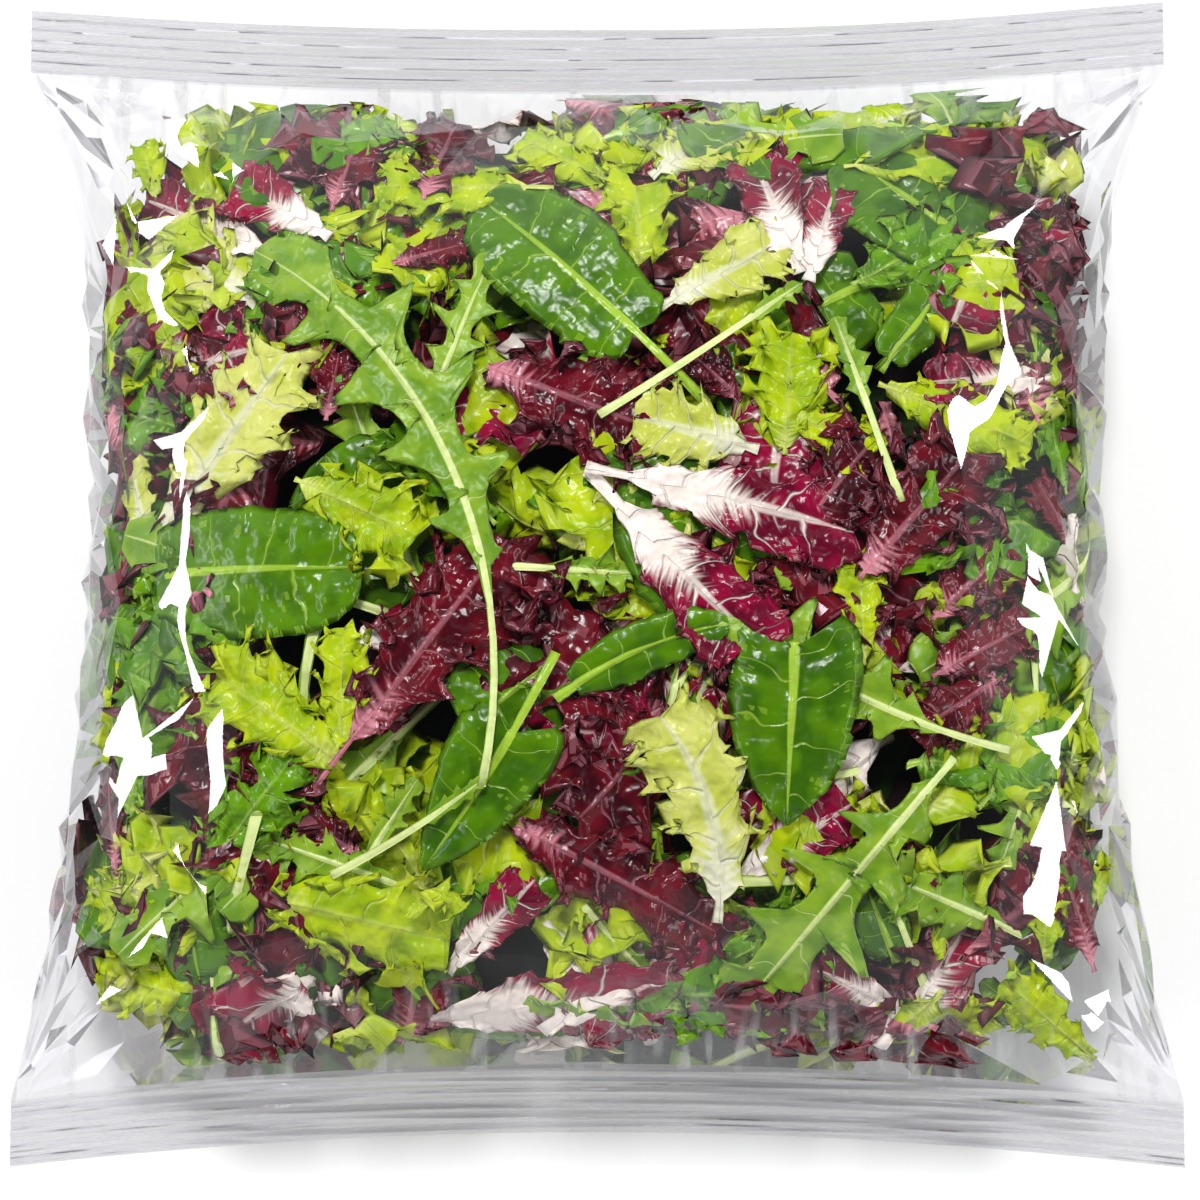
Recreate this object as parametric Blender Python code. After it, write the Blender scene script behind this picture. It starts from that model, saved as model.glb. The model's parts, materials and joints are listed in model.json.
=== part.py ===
"""A clear pillow bag of salad leaves, lying on its back.

The bag is one tube of film, closed by a ribbed seal at each end and by a fin seal that runs
down the middle of its back. It is modelled as one closed solid of its outer shape: the domed
body, the side pleats, the folds that run in from the four corners, the two corrugated end
seals and the fin. Metres, +Z up. +Y points to the top seal, the origin is on the surface that
the bag lies on, under its centre.
"""

import math

import bmesh
import bpy

# Sizes of the empty bag
TUBE_WIDTH = 0.280  # the flat tube, and so the width of both end seals
CORNER_LENGTH = 0.284  # from seal edge to seal edge at the bag's corners
SEAL_DEPTH = 0.016
SEAL_THICKNESS = 0.0010
RIBS_PER_SEAL = 6
RIB_HEIGHT = 0.0007
FIN_WIDTH = 0.014
FIN_THICKNESS = 0.0005

# How far filling it draws it out of the flat
SEAL_HEIGHT = 0.030  # of the seal plane over the surface
SEAL_SAG = 0.007  # of the corners, under their own weight
SEAL_WAVE = 0.0016  # of a ripple along each seal
SEAL_RIPPLES = 1.46  # over the width
SEAL_DRAW = 0.0085  # of each seal's middle, towards the bag's centre
WAIST_DRAW = 0.0165  # of each side, at the waist
UPPER_TAPER = 4.0  # the sides stay narrow until close to the upper seal
LOWER_TAPER = 1.8  # and widen evenly towards the lower one
DOME_HEIGHT = 0.045  # of the upper side over the seal plane
KEEL_DEPTH = 0.034  # of the lower side, before the surface flattens it
SIDE_ROUNDING = 3.2  # exponent of the cross-section across the bag
END_ROUNDING = 3.0  # exponent of the section along the bag

# Folds of the film
PLEATS_PER_SIDE = 9
PLEAT_DEPTH = 0.0034
PLEAT_START = 0.66  # how far across the half width the pleats run in
PLEAT_LEAN = 0.9  # turns by which a pleat slants over the full half width
PLEAT_WANDER = 0.17  # turns by which their spacing is uneven
PLEAT_DRAW = 0.5  # how far a pleat pulls the side in, for each metre of its depth
CORNER_FOLDS = 3.5
CORNER_FOLD_DEPTH = 0.0030
CORNER_FOLD_REACH = 0.085

# Mesh divisions
COLUMNS = 30
BODY_RINGS = 40
RING_CROWDING = 0.55  # how far the rings crowd towards the seals, from 0 to 1

HALF_WIDTH = TUBE_WIDTH / 2
BODY_END = CORNER_LENGTH / 2 - SEAL_DEPTH
FILM_COLOUR = (0.82, 0.84, 0.86, 1.0)


def zigzag(turns):
    """A triangle wave from -1 to 1, one cycle for each turn."""
    return 4 * abs((turns + 0.25) % 1.0 - 0.5) - 1


def half_width(along):
    """Half the bag's width at a place from -1, at the lower seal, to 1, at the upper one."""
    taper = UPPER_TAPER if along > 0 else LOWER_TAPER
    return HALF_WIDTH - WAIST_DRAW * (1 - abs(along) ** taper)


def seal_plane(across, along):
    """Height of the plane that both seals lie in, which sags and waves a little at the ends."""
    end = abs(along) ** 3
    wave = SEAL_WAVE * math.sin(math.pi * SEAL_RIPPLES * across + 2 * along)
    return SEAL_HEIGHT + end * (wave - SEAL_SAG * across**4)


def fullness(across, along):
    """How far the sheet has left the seal plane, from 0 at the film's edges to 1."""
    section = max(0.0, 1 - abs(across) ** SIDE_ROUNDING) ** 0.5
    return section * max(0.0, 1 - abs(along) ** END_ROUNDING) ** 0.85


def side_pleat(across, along):
    """Depth of the diamond pleats that gather the film down each side."""
    band = max(0.0, (abs(across) - PLEAT_START) / (1 - PLEAT_START)) ** 1.2
    lean = PLEAT_LEAN * abs(across) + PLEAT_WANDER * math.sin(5 * along + across)
    return PLEAT_DEPTH * band * (1 + zigzag(PLEATS_PER_SIDE * along / 2 + lean)) / 2


def corner_fold(x, y):
    """Depth of the folds that fan out from the nearest corner of the body."""
    away_x, away_y = HALF_WIDTH - abs(x), BODY_END - abs(y)
    reach = math.hypot(away_x, away_y)
    if reach < 1e-6 or reach > CORNER_FOLD_REACH:
        return 0.0
    fade = math.sin(math.pi * reach / CORNER_FOLD_REACH)
    turn = math.atan2(max(away_y, 0.0), max(away_x, 1e-6)) / (math.pi / 2)
    return CORNER_FOLD_DEPTH * fade * (1 + zigzag(CORNER_FOLDS * turn)) / 2


def film_point(across, along, over, beyond, fin):
    """A point of the film.

    across runs from -1 to 1 over the width and along from -1 to 1 over the body. over is 1 on
    the upper sheet and -1 on the lower one. beyond is how far out on the end seal it lies,
    from 0 to 1. fin is an x on the fin seal, or None.
    """
    end = math.copysign(1.0, along)
    x = fin if fin is not None else across * half_width(along)
    share = x / half_width(along)
    draw = SEAL_DRAW * (1 - share * share) * abs(along) ** 4
    y = along * BODY_END + end * (beyond * SEAL_DEPTH - draw)
    rise = DOME_HEIGHT if over > 0 else KEEL_DEPTH
    full = fullness(share, along)
    z = seal_plane(share, along) + over * (SEAL_THICKNESS / 2 + rise * full)
    z -= over * (side_pleat(share, along) * full + corner_fold(x, y) * min(1.0, 4 * full))
    x -= math.copysign(PLEAT_DRAW * side_pleat(share, along) * (1 - abs(along) ** 8), x)
    z += RIB_HEIGHT * zigzag(RIBS_PER_SEAL * beyond - 0.25) if beyond > 0 else 0.0
    if over < 0:
        z = max(z, FIN_THICKNESS)
        if fin is not None and abs(fin) <= FIN_WIDTH / 2:
            z -= FIN_THICKNESS
    return (x, y, z)


def across_stations():
    """Places across the width, closer together towards the sides."""
    return [math.sin(math.pi * (i / COLUMNS - 0.5)) for i in range(COLUMNS + 1)]


def lower_stations():
    """(across, fin) pairs of the lower sheet, right to left, with the edges of the fin added."""
    edge = FIN_WIDTH / 2
    step = FIN_THICKNESS
    clear = (edge + 2 * step) / (HALF_WIDTH - WAIST_DRAW)
    outer = [a for a in across_stations() if a > clear]
    right = [(a, None) for a in reversed(outer)]
    middle = [(0.0, x) for x in (edge + step, edge, 0.0, -edge, -edge - step)]
    return right + middle + [(-a, None) for a in outer]


def ring(bm, along, beyond):
    """One closed loop of the tube, over the upper sheet and back under the lower one."""
    points = [film_point(a, along, 1, beyond, None) for a in across_stations()]
    points += [film_point(a, along, -1, beyond, fin) for a, fin in lower_stations()]
    verts = [bm.verts.new(p) for p in points]
    return [bm.edges.new(pair) for pair in zip(verts, verts[1:] + verts[:1])]


def ring_stations():
    """(along, beyond) of every ring, from the lower seal's edge to the upper seal's."""
    steps = 2 * RIBS_PER_SEAL
    seal = [i / steps for i in range(1, steps + 1)]
    even = [2 * i / BODY_RINGS - 1 for i in range(BODY_RINGS + 1)]
    crowded = [math.sin(math.pi * e / 2) for e in even]
    body = [e + RING_CROWDING * (c - e) for e, c in zip(even, crowded)]
    lower = [(-1.0, b) for b in reversed(seal)]
    return lower + [(a, 0.0) for a in body] + [(1.0, b) for b in seal]


def bag_mesh():
    """The whole outer surface, from loops round the tube, with the seals' cut edges closed."""
    bm = bmesh.new()
    rings = [ring(bm, along, beyond) for along, beyond in ring_stations()]
    for first, second in zip(rings, rings[1:]):
        bmesh.ops.bridge_loops(bm, edges=first + second)
    for cut_edge in (rings[0], rings[-1]):
        bmesh.ops.edgeloop_fill(bm, edges=cut_edge)
    bmesh.ops.triangulate(bm, faces=bm.faces, ngon_method="EAR_CLIP")
    bmesh.ops.recalc_face_normals(bm, faces=bm.faces)
    mesh = bpy.data.meshes.new("salad_bag")
    bm.to_mesh(mesh)
    bm.free()
    mesh.shade_smooth()
    mesh.set_sharp_from_angle(angle=math.radians(35))
    return mesh


def film_material():
    """Clear polypropylene film: smooth, colourless and mostly see-through."""
    material = bpy.data.materials.new("clear_film")
    material.use_nodes = True
    shader = material.node_tree.nodes["Principled BSDF"]
    shader.inputs["Base Color"].default_value = FILM_COLOUR
    shader.inputs["Roughness"].default_value = 0.12
    shader.inputs["Metallic"].default_value = 0.0
    shader.inputs["Alpha"].default_value = 0.35
    return material


def main():
    for old in list(bpy.data.objects):
        bpy.data.objects.remove(old)
    bag = bpy.data.objects.new("salad_bag", bag_mesh())
    bag.data.materials.append(film_material())
    bpy.context.scene.collection.objects.link(bag)


main()
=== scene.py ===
"""A clear pillow bag of mixed salad leaves: its film and seals, and the leaves inside it."""

import json
import math

import bmesh
import bpy
import numpy as np
from mathutils import Matrix, Vector
from mathutils.geometry import delaunay_2d_cdt

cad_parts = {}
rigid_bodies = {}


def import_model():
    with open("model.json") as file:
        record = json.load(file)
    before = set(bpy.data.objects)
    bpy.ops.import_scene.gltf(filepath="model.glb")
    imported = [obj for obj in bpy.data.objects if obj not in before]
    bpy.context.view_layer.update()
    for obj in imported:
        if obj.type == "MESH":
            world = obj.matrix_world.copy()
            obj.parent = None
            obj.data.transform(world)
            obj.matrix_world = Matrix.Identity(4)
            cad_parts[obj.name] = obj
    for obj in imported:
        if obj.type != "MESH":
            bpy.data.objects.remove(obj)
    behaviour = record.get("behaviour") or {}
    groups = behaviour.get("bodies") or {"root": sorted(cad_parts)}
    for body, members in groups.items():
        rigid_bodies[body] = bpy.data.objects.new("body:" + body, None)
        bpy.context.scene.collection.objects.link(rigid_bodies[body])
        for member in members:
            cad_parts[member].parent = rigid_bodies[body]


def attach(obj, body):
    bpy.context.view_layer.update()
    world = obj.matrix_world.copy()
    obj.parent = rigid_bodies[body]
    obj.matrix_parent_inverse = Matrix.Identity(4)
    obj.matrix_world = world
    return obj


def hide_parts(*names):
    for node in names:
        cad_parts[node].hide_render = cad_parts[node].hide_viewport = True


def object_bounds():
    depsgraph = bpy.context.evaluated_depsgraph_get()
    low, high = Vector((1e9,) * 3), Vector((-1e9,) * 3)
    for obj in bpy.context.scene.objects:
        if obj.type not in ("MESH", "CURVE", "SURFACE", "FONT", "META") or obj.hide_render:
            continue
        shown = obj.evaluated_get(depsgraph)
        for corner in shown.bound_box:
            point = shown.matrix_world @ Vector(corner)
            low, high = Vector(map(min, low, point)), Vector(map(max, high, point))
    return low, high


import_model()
cad_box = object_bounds()


# The bag is one tube of 30 micron clear polypropylene film, drawn out of the flat by its
# filling. It creases into flat facets down both shoulders, fans into folds at its corners, and
# crumples beside the seals. Both ends are fused flat between ribbed jaws.
HALF_WIDTH, SEAL_EDGE, BAG_TOP = cad_box[1]
SEAL_DEPTH = 0.016
BODY_END = SEAL_EDGE - SEAL_DEPTH
SEAL_HEIGHT = 0.030
SEAL_SAG = 0.007
SEAL_DRAW = 0.0085
WAIST_DRAW = 0.0165
UPPER_TAPER, LOWER_TAPER = 4.0, 1.8
FILM_GAP = 0.0003
DOME_HEIGHT = BAG_TOP - SEAL_HEIGHT - 0.0005
KEEL_DEPTH = 0.034
RESTS_AT = 0.0006


def half_width(v):
    """Half the bag's width at v, which runs from -1 at the lower seal to 1 at the upper one."""
    taper = np.where(v > 0, UPPER_TAPER, LOWER_TAPER)
    return HALF_WIDTH - WAIST_DRAW * (1 - np.abs(v) ** taper)


def sheet_height(u, v, over):
    """Height of the upper sheet (over is 1) or the lower one (-1), u and v running -1 to 1."""
    plane = SEAL_HEIGHT + np.abs(v) ** 3 * (0.0016 * np.sin(4.6 * u + 2 * v) - SEAL_SAG * u**4)
    roundness, fullness = (3.1, 0.60) if over > 0 else (3.2, 0.5)
    section = np.maximum(0, 1 - np.abs(u) ** roundness) ** fullness
    full = section * np.maximum(0, 1 - np.abs(v) ** 3) ** 0.85
    rise = DOME_HEIGHT if over > 0 else KEEL_DEPTH
    return np.maximum(plane + over * (FILM_GAP + rise * full), RESTS_AT)


def sheet_point(u, v, over):
    y = v * BODY_END - np.sign(v) * SEAL_DRAW * (1 - u * u) * v**4
    return np.stack([u * half_width(v), y, sheet_height(u, v, over)], axis=-1)


def shares(x, y):
    """The u and v of a place in plan."""
    u = x / half_width(y / BODY_END)
    v = y / BODY_END
    for _ in range(3):
        flat_u = np.clip(u, -1, 1)
        v = y / (BODY_END - SEAL_DRAW * (1 - flat_u**2) * np.clip(np.abs(v), 0, 1) ** 3)
        u = x / half_width(np.clip(v, -1, 1))
    return u, v


# Flat facets between creases on the two shoulders, as corners in millimetres in plan.
SHOULDER_FACETS = (
    ((-116, 116), (-98, 109), (-96, 105), (-102, 102)),
    ((-97, 108), (-83, 94), (-86, 86), (-101, 101)),
    ((-85, 92), (-82, 80), (-87, 86)),
    ((-127, 120), (-124, 118), (-117, 101), (-112, 89), (-119, 102)),
    ((-112, 88), (-106, 78), (-110, 80)),
    ((-111, 71), (-99, 74), (-101, 66), (-96, 56), (-99, 49), (-106, 62)),
    ((-99, 51), (-95, 50), (-89, 36)),
    ((-89, 35), (-103, 28), (-97, 20), (-96, 13)),
    ((-88, 35), (-95, 13), (-92, 24)),
    ((-96, -2), (-101, -11), (-97, -19), (-92, -32), (-93, -14)),
    ((-92, -33), (-116, -46), (-113, -52), (-111, -66), (-99, -45)),
    ((-111, -67), (-119, -84), (-124, -94), (-117, -80)),
    ((-98, -81), (-103, -87), (-108, -99), (-130, -115), (-112, -94)),
    ((127, 121), (111, 109), (117, 110)),
    ((127, 120), (115, 104), (111, 93), (121, 108)),
    ((111, 91), (101, 82), (91, 76), (102, 72), (104, 82)),
    ((89, 71), (101, 71), (95, 73)),
    ((89, 70), (91, 65), (96, 63)),
    ((96, 62), (101, 43), (97, 40), (92, 37), (94, 48)),
    ((98, 11), (104, -2), (114, -21), (107, -14), (101, -4)),
    ((102, -42), (115, -33), (111, -49), (113, -60), (108, -52)),
    ((113, -61), (118, -70), (125, -85), (133, -112), (123, -87)),
    ((102, -93), (109, -96), (120, -108), (131, -117), (117, -110)),
)
FACET_TILTS = (math.radians(22.6), math.radians(23.8))
FACET_HOLLOW, FACET_SWELL = 0.28, 0.022
CORNER_FOLDS, SIDE_FOLDS = 9, 11
CREASE_SPACING, CLOSE_CREASES = 0.0110, 0.0078
SIDE_CRUMPLE, END_CRUMPLE, SLACK = 0.0034, 0.0042, 0.00016
PULLS_PER_SIDE, SIDE_PULL = 34, 0.0024
SEAL_COLUMNS, SEAL_ROWS, SIDE_ROWS = 110, 36, 56
GIRTH, LENGTH = 0.150, 0.126
WRAP = 1.1

film_random = np.random.default_rng(11)
side_pulls = film_random.uniform(0, 1, (2, PULLS_PER_SIDE + 1))
side_lifts = film_random.uniform(-0.0012, 0.0012, (2, PULLS_PER_SIDE + 1))


def across(p):
    """u at a share p of the way round the sheet, which turns down at its sides."""
    return np.sin(WRAP * p) / math.sin(WRAP)


def around(u):
    return np.arcsin(np.clip(u, -1, 1) * math.sin(WRAP)) / WRAP


def inside(outline, places):
    """Whether each place lies within an outline."""
    x, y = places[:, 0], places[:, 1]
    within = np.zeros(len(places), bool)
    for (ax, ay), (bx, by) in zip(outline, np.roll(outline, -1, axis=0)):
        crossing = (ay > y) != (by > y)
        within ^= crossing & (x < (bx - ax) * (y - ay) / (by - ay + 1e-12) + ax)
    return within


def shoulder_facet(outline):
    """A stretched facet, tilted outwards by its shoulder, with hollow sides and a swollen middle."""
    plan = np.array(outline) / 1000
    middle = plan.mean(axis=0)
    hollows = (plan + np.roll(plan, -1, axis=0)) / 2
    hollows += (middle - hollows) * FACET_HOLLOW
    plan = np.stack([plan, hollows], axis=1).reshape(-1, 2)
    plan = np.concatenate([plan, middle[None]])
    height = sheet_height(*shares(*middle), 1)
    slope = math.tan(FACET_TILTS[1]) if middle[0] > 0 else -math.tan(FACET_TILTS[0])
    z = height - slope * (plan[:, 0] - middle[0])
    z[-1] += FACET_SWELL * np.linalg.norm(plan[:-1] - middle, axis=1).mean()
    u, v = shares(plan[:, 0], plan[:, 1])
    return np.column_stack([plan, z]), np.column_stack([around(u) * GIRTH, v * LENGTH])


def corner_folds():
    """Places along the folds at the corners and sides, in chains, with how far they rise."""
    chains, rises = [], []
    for x_side in (-1, 1):
        for y_side in (-1, 1):
            for fold in range(CORNER_FOLDS):
                turn = (fold + 0.5 + film_random.uniform(-0.2, 0.2)) / CORNER_FOLDS * math.pi / 2
                reach = film_random.uniform(0.035, 0.075) * (1 - 0.35 * math.sin(2 * turn))
                radii = np.linspace(0.010, reach, 4)
                x = x_side * (GIRTH - 0.9 * radii * math.cos(turn))
                y = y_side * (LENGTH - radii * math.sin(turn))
                chains.append(np.column_stack([x, y]))
                rises.append(0.0012 * (1 if fold % 2 else -1) * np.array([0.5, 1, 1, 0.3]))
        for fold in range(SIDE_FOLDS):
            start = LENGTH * ((fold + film_random.uniform(0.2, 0.8)) / SIDE_FOLDS * 1.4 - 0.7)
            reach, slide = film_random.uniform(0.014, 0.034), film_random.uniform(-0.030, 0.030)
            steps = np.linspace(0.08, 1, 4)
            chains.append(np.column_stack([x_side * (GIRTH - reach * steps), start + slide * steps]))
            rises.append(0.0009 * (1 if fold % 2 else -1) * np.array([0.7, 1, 0.8, 0.2]))
    return chains, rises


def scattered(kept):
    """Kept places, and random ones no closer together than the creases there are."""
    places = np.empty((6000, 2))
    count = len(kept)
    places[:count] = kept
    for place in film_random.uniform((-GIRTH, -LENGTH), (GIRTH, LENGTH), (9000, 2)):
        room = min(1 - abs(place[0]) / GIRTH, 0.8 * (1 - abs(place[1]) / LENGTH))
        spacing = CLOSE_CREASES + (CREASE_SPACING - CLOSE_CREASES) * min(1, room / 0.14)
        gaps = np.abs(places[:count] - place).max(axis=1)
        if room > 0.012 and gaps.min() > spacing * 0.85:
            places[count] = place
            count += 1
    return places[len(kept) : count]


def film_sheet(over):
    """One creased sheet between the seals: its points, faces and crumpling."""
    p_columns = np.linspace(-1, 1, SEAL_COLUMNS + 1) * GIRTH
    v_rows = np.linspace(-1, 1, SIDE_ROWS + 1)[1:-1] * LENGTH
    rim = [(p, end * LENGTH) for p in p_columns for end in (-1, 1)]
    rim += [(side * GIRTH, v) for v in v_rows for side in (-1, 1)]
    places, edges, rises, corners = list(rim), [], {}, {}
    chains, chain_rises = corner_folds()
    for chain, rise in zip(chains, chain_rises):
        start = len(places)
        places += [tuple(place) for place in chain]
        edges += [(start + i, start + i + 1) for i in range(len(chain) - 1)]
        rises.update({start + i: value for i, value in enumerate(rise)})
    facet_outlines = []
    if over > 0:
        for outline in SHOULDER_FACETS:
            points, plan = shoulder_facet(outline)
            start = len(places)
            places += [tuple(place) for place in plan]
            sides = len(plan) - 1
            edges += [(start + i, start + (i + 1) % sides) for i in range(sides)]
            corners.update({start + i: point for i, point in enumerate(points)})
            facet_outlines.append(plan[-1] + (plan[:-1] - plan[-1]) * 1.2)
    loose = scattered(np.array(places))
    for outline in facet_outlines:
        loose = loose[~inside(outline, loose)]
    places += [tuple(place) for place in loose]
    made, _, faces, origins, _, _ = delaunay_2d_cdt([Vector(p) for p in places], edges, [], 0, 1e-7)
    made = np.array([tuple(place) for place in made])
    p, v = made[:, 0] / GIRTH, made[:, 1] / LENGTH
    points = sheet_point(across(p), v, over)
    step = 0.004
    run = sheet_point(across(np.clip(p + step, -1, 1)), v, over)
    run = run - sheet_point(across(np.clip(p - step, -1, 1)), v, over)
    climb = sheet_point(across(p), np.clip(v + step, -1, 1), over)
    climb = climb - sheet_point(across(p), np.clip(v - step, -1, 1), over)
    normal = np.cross(run, climb) * over
    normal /= np.linalg.norm(normal, axis=1, keepdims=True)
    side = np.clip((np.abs(p) - 0.60) / 0.22, 0, 1)
    end = np.clip((np.abs(v) - 0.84) / 0.1, 0, 1) * np.clip((1 - np.abs(v)) / 0.03, 0, 1)
    crumple = np.maximum(SIDE_CRUMPLE * side, END_CRUMPLE * end)
    push = film_random.uniform(-1.0, 0.3, len(p)) * (SLACK + crumple)
    for i, group in enumerate(origins):
        for origin in group:
            if origin < len(rim):
                push[i] = 0.0
            push[i] = rises.get(origin, push[i])
    points += normal * push[:, None]
    for i, group in enumerate(origins):
        for origin in group:
            points[i] = corners.get(origin, points[i])
    at_side = np.abs(p) > 0.9999
    which = (p > 0).astype(int)
    for i in np.flatnonzero(at_side & (np.abs(v) < 0.999)):
        place = (v[i] + 1) / 2 * PULLS_PER_SIDE
        pull = np.interp(place, np.arange(PULLS_PER_SIDE + 1), side_pulls[which[i]])
        lift = np.interp(place, np.arange(PULLS_PER_SIDE + 1), side_lifts[which[i]])
        fade = min(1, (1 - abs(v[i])) * 8)
        points[i, 0] -= math.copysign(SIDE_PULL * pull * fade, p[i])
        points[i, 2] += lift * fade
    points[:, 2] = np.maximum(points[:, 2], RESTS_AT)
    return points, [list(face) for face in faces], end


def seal_sheet(over, end):
    """One sheet of an end seal, still flat: its points, faces and how far out each point is."""
    u = across(np.linspace(-1, 1, SEAL_COLUMNS + 1))
    out = np.linspace(0, 1, SEAL_ROWS + 1)
    line = sheet_point(u, np.full(len(u), float(end)), over)
    points = np.repeat(line[None], len(out), axis=0)
    points[:, :, 1] += end * SEAL_DEPTH * out[:, None]
    ids = np.arange(points.shape[0] * points.shape[1]).reshape(points.shape[:2])
    quads = np.stack([ids[:-1, :-1], ids[:-1, 1:], ids[1:, 1:], ids[1:, :-1]], axis=-1)
    return points.reshape(-1, 3), quads.reshape(-1, 4).tolist(), np.repeat(out, len(u))


def mesh_piece(name, points, faces):
    """A smooth object at the origin, whose place is in its mesh."""
    mesh = bpy.data.meshes.new(name)
    mesh.from_pydata(np.asarray(points).tolist(), [], faces)
    mesh.shade_smooth()
    piece = bpy.data.objects.new(name, mesh)
    bpy.context.scene.collection.objects.link(piece)
    return piece


def set_attribute(piece, label, values, kind="FLOAT"):
    attribute = piece.data.attributes.new(label, kind, "POINT")
    field = "value" if kind == "FLOAT" else "vector"
    attribute.data.foreach_set(field, np.asarray(values, np.float32).ravel())


def flat_film():
    """Both sheets and the four halves of the seals, joined into one closed tube."""
    points, faces, pucker, beyond = [], [], [], []
    parts = [film_sheet(1), film_sheet(-1)]
    parts = [(p, f, c, np.zeros(len(p))) for p, f, c in parts]
    for over in (1, -1):
        for end in (1, -1):
            seal_points, seal_faces, out = seal_sheet(over, end)
            parts.append((seal_points, seal_faces, 1 - out, out))
    first = 0
    for part_points, part_faces, part_pucker, out in parts:
        points.append(part_points)
        faces += [[first + i for i in face] for face in part_faces]
        pucker.append(part_pucker)
        beyond.append(out)
        first += len(part_points)
    tube = mesh_piece("bag_film", np.concatenate(points), faces)
    set_attribute(tube, "pucker", np.concatenate(pucker))
    set_attribute(tube, "beyond", np.concatenate(beyond))
    bm = bmesh.new()
    bm.from_mesh(tube.data)
    bmesh.ops.remove_doubles(bm, verts=bm.verts, dist=1e-5)
    bmesh.ops.bridge_loops(bm, edges=[edge for edge in bm.edges if edge.is_boundary])
    bmesh.ops.recalc_face_normals(bm, faces=bm.faces)
    for face in bm.faces:
        face.smooth = True
    bm.to_mesh(tube.data)
    bm.free()
    return tube


def new_tree(name, inputs):
    """A Geometry Nodes tree with named inputs: the tree, and the sockets that its inputs give."""
    tree = bpy.data.node_groups.new(name, "GeometryNodeTree")
    tree.interface.new_socket("Geometry", in_out="INPUT", socket_type="NodeSocketGeometry")
    for label, kind in inputs:
        tree.interface.new_socket(label, in_out="INPUT", socket_type="NodeSocket" + kind)
    tree.interface.new_socket("Geometry", in_out="OUTPUT", socket_type="NodeSocketGeometry")
    return tree, tree.nodes.new("NodeGroupInput").outputs


def add_node(tree, kind, inputs=(), **settings):
    """A node whose inputs are given as values, or as the sockets that feed them."""
    made = tree.nodes.new(kind)
    for name, value in settings.items():
        setattr(made, name, value)
    for key, value in dict(inputs).items():
        if isinstance(value, bpy.types.NodeSocket):
            tree.links.new(value, made.inputs[key])
        else:
            made.inputs[key].default_value = value
    return made


def calculated(tree, operation, *values, **settings):
    """The result of one step of arithmetic."""
    return add_node(tree, "ShaderNodeMath", dict(enumerate(values)), operation=operation, **settings).outputs[0]


def mixed(tree, share, first, second):
    """A colour between two."""
    mix = add_node(tree, "ShaderNodeMix", {0: share, 6: first, 7: second}, data_type="RGBA")
    return mix.outputs[2]


def ramp(tree, value, low, high):
    """0 below low and 1 above high, with a smooth rise between them, or a fall if low is more."""
    kinds = {"Value": value, "From Min": low, "From Max": high}
    return add_node(tree, "ShaderNodeMapRange", kinds, interpolation_type="SMOOTHSTEP").outputs[0]


def run_tree(piece, tree, values):
    """Run a tree on a piece with its inputs set, and keep the result as the piece's plain mesh."""
    modifier = piece.modifiers.new(tree.name, "NODES")
    modifier.node_group = tree
    for socket in tree.interface.items_tree:
        if socket.in_out == "INPUT" and socket.name in values:
            modifier[socket.identifier] = values[socket.name]
    bpy.context.view_layer.update()
    depsgraph = bpy.context.evaluated_depsgraph_get()
    made = bpy.data.meshes.new_from_object(
        piece.evaluated_get(depsgraph), preserve_all_data_layers=True, depsgraph=depsgraph
    )
    piece.modifiers.clear()
    piece.data = made


def seal_rib_tree():
    """Presses the ribs of the sealing jaws into the film, unevenly, and most by the back seam."""
    inputs = (("Ribs", "Float"), ("Rib height", "Float"), ("Seam width", "Float"), ("Film", "Material"))
    tree, given = new_tree("seal ribs", inputs)
    beyond = add_node(tree, "GeometryNodeInputNamedAttribute", {"Name": "beyond"}, data_type="FLOAT")
    beyond = beyond.outputs["Attribute"]
    place = add_node(tree, "GeometryNodeInputPosition").outputs[0]
    x = add_node(tree, "ShaderNodeSeparateXYZ", {0: place}).outputs[0]
    streaks = add_node(tree, "ShaderNodeVectorMath", {0: place, 1: (11, 320, 0)}, operation="MULTIPLY")
    uneven = add_node(tree, "ShaderNodeTexNoise", {"Vector": streaks.outputs[0], "Scale": 1.0, "Detail": 2.0})
    crinkle = add_node(tree, "ShaderNodeTexNoise", {"Vector": place, "Scale": 420.0, "Detail": 1.0})
    turns = calculated(tree, "MULTIPLY", beyond, given["Ribs"])
    turns = calculated(tree, "MULTIPLY_ADD", uneven.outputs[0], 0.4, turns)
    wave = calculated(tree, "SINE", calculated(tree, "MULTIPLY", turns, 2 * math.pi))
    strength = calculated(tree, "MULTIPLY", wave, calculated(tree, "ADD", uneven.outputs[0], 0.35))
    seam = ramp(tree, calculated(tree, "ABSOLUTE", x), given["Seam width"], 0.004)
    rough = calculated(tree, "MULTIPLY", calculated(tree, "SUBTRACT", crinkle.outputs[0], 0.5), seam)
    strength = calculated(tree, "MULTIPLY_ADD", rough, 3.5, strength)
    pressed = ramp(tree, beyond, 0.0, 0.06)
    lift = calculated(tree, "MULTIPLY", calculated(tree, "MULTIPLY", strength, pressed), given["Rib height"])
    offset = add_node(tree, "ShaderNodeCombineXYZ", {2: lift})
    ribbed = add_node(tree, "GeometryNodeSetPosition", {"Geometry": given["Geometry"], "Offset": offset.outputs[0]})
    real = add_node(tree, "GeometryNodeRealizeInstances", {0: ribbed.outputs[0]})
    done = add_node(tree, "GeometryNodeSetMaterial", {"Geometry": real.outputs[0], "Material": given["Film"]})
    add_node(tree, "NodeGroupOutput", {0: done.outputs[0]})
    return tree


def new_material(name):
    material = bpy.data.materials.new(name)
    material.use_nodes = True
    material.node_tree.nodes.clear()
    return material


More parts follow.
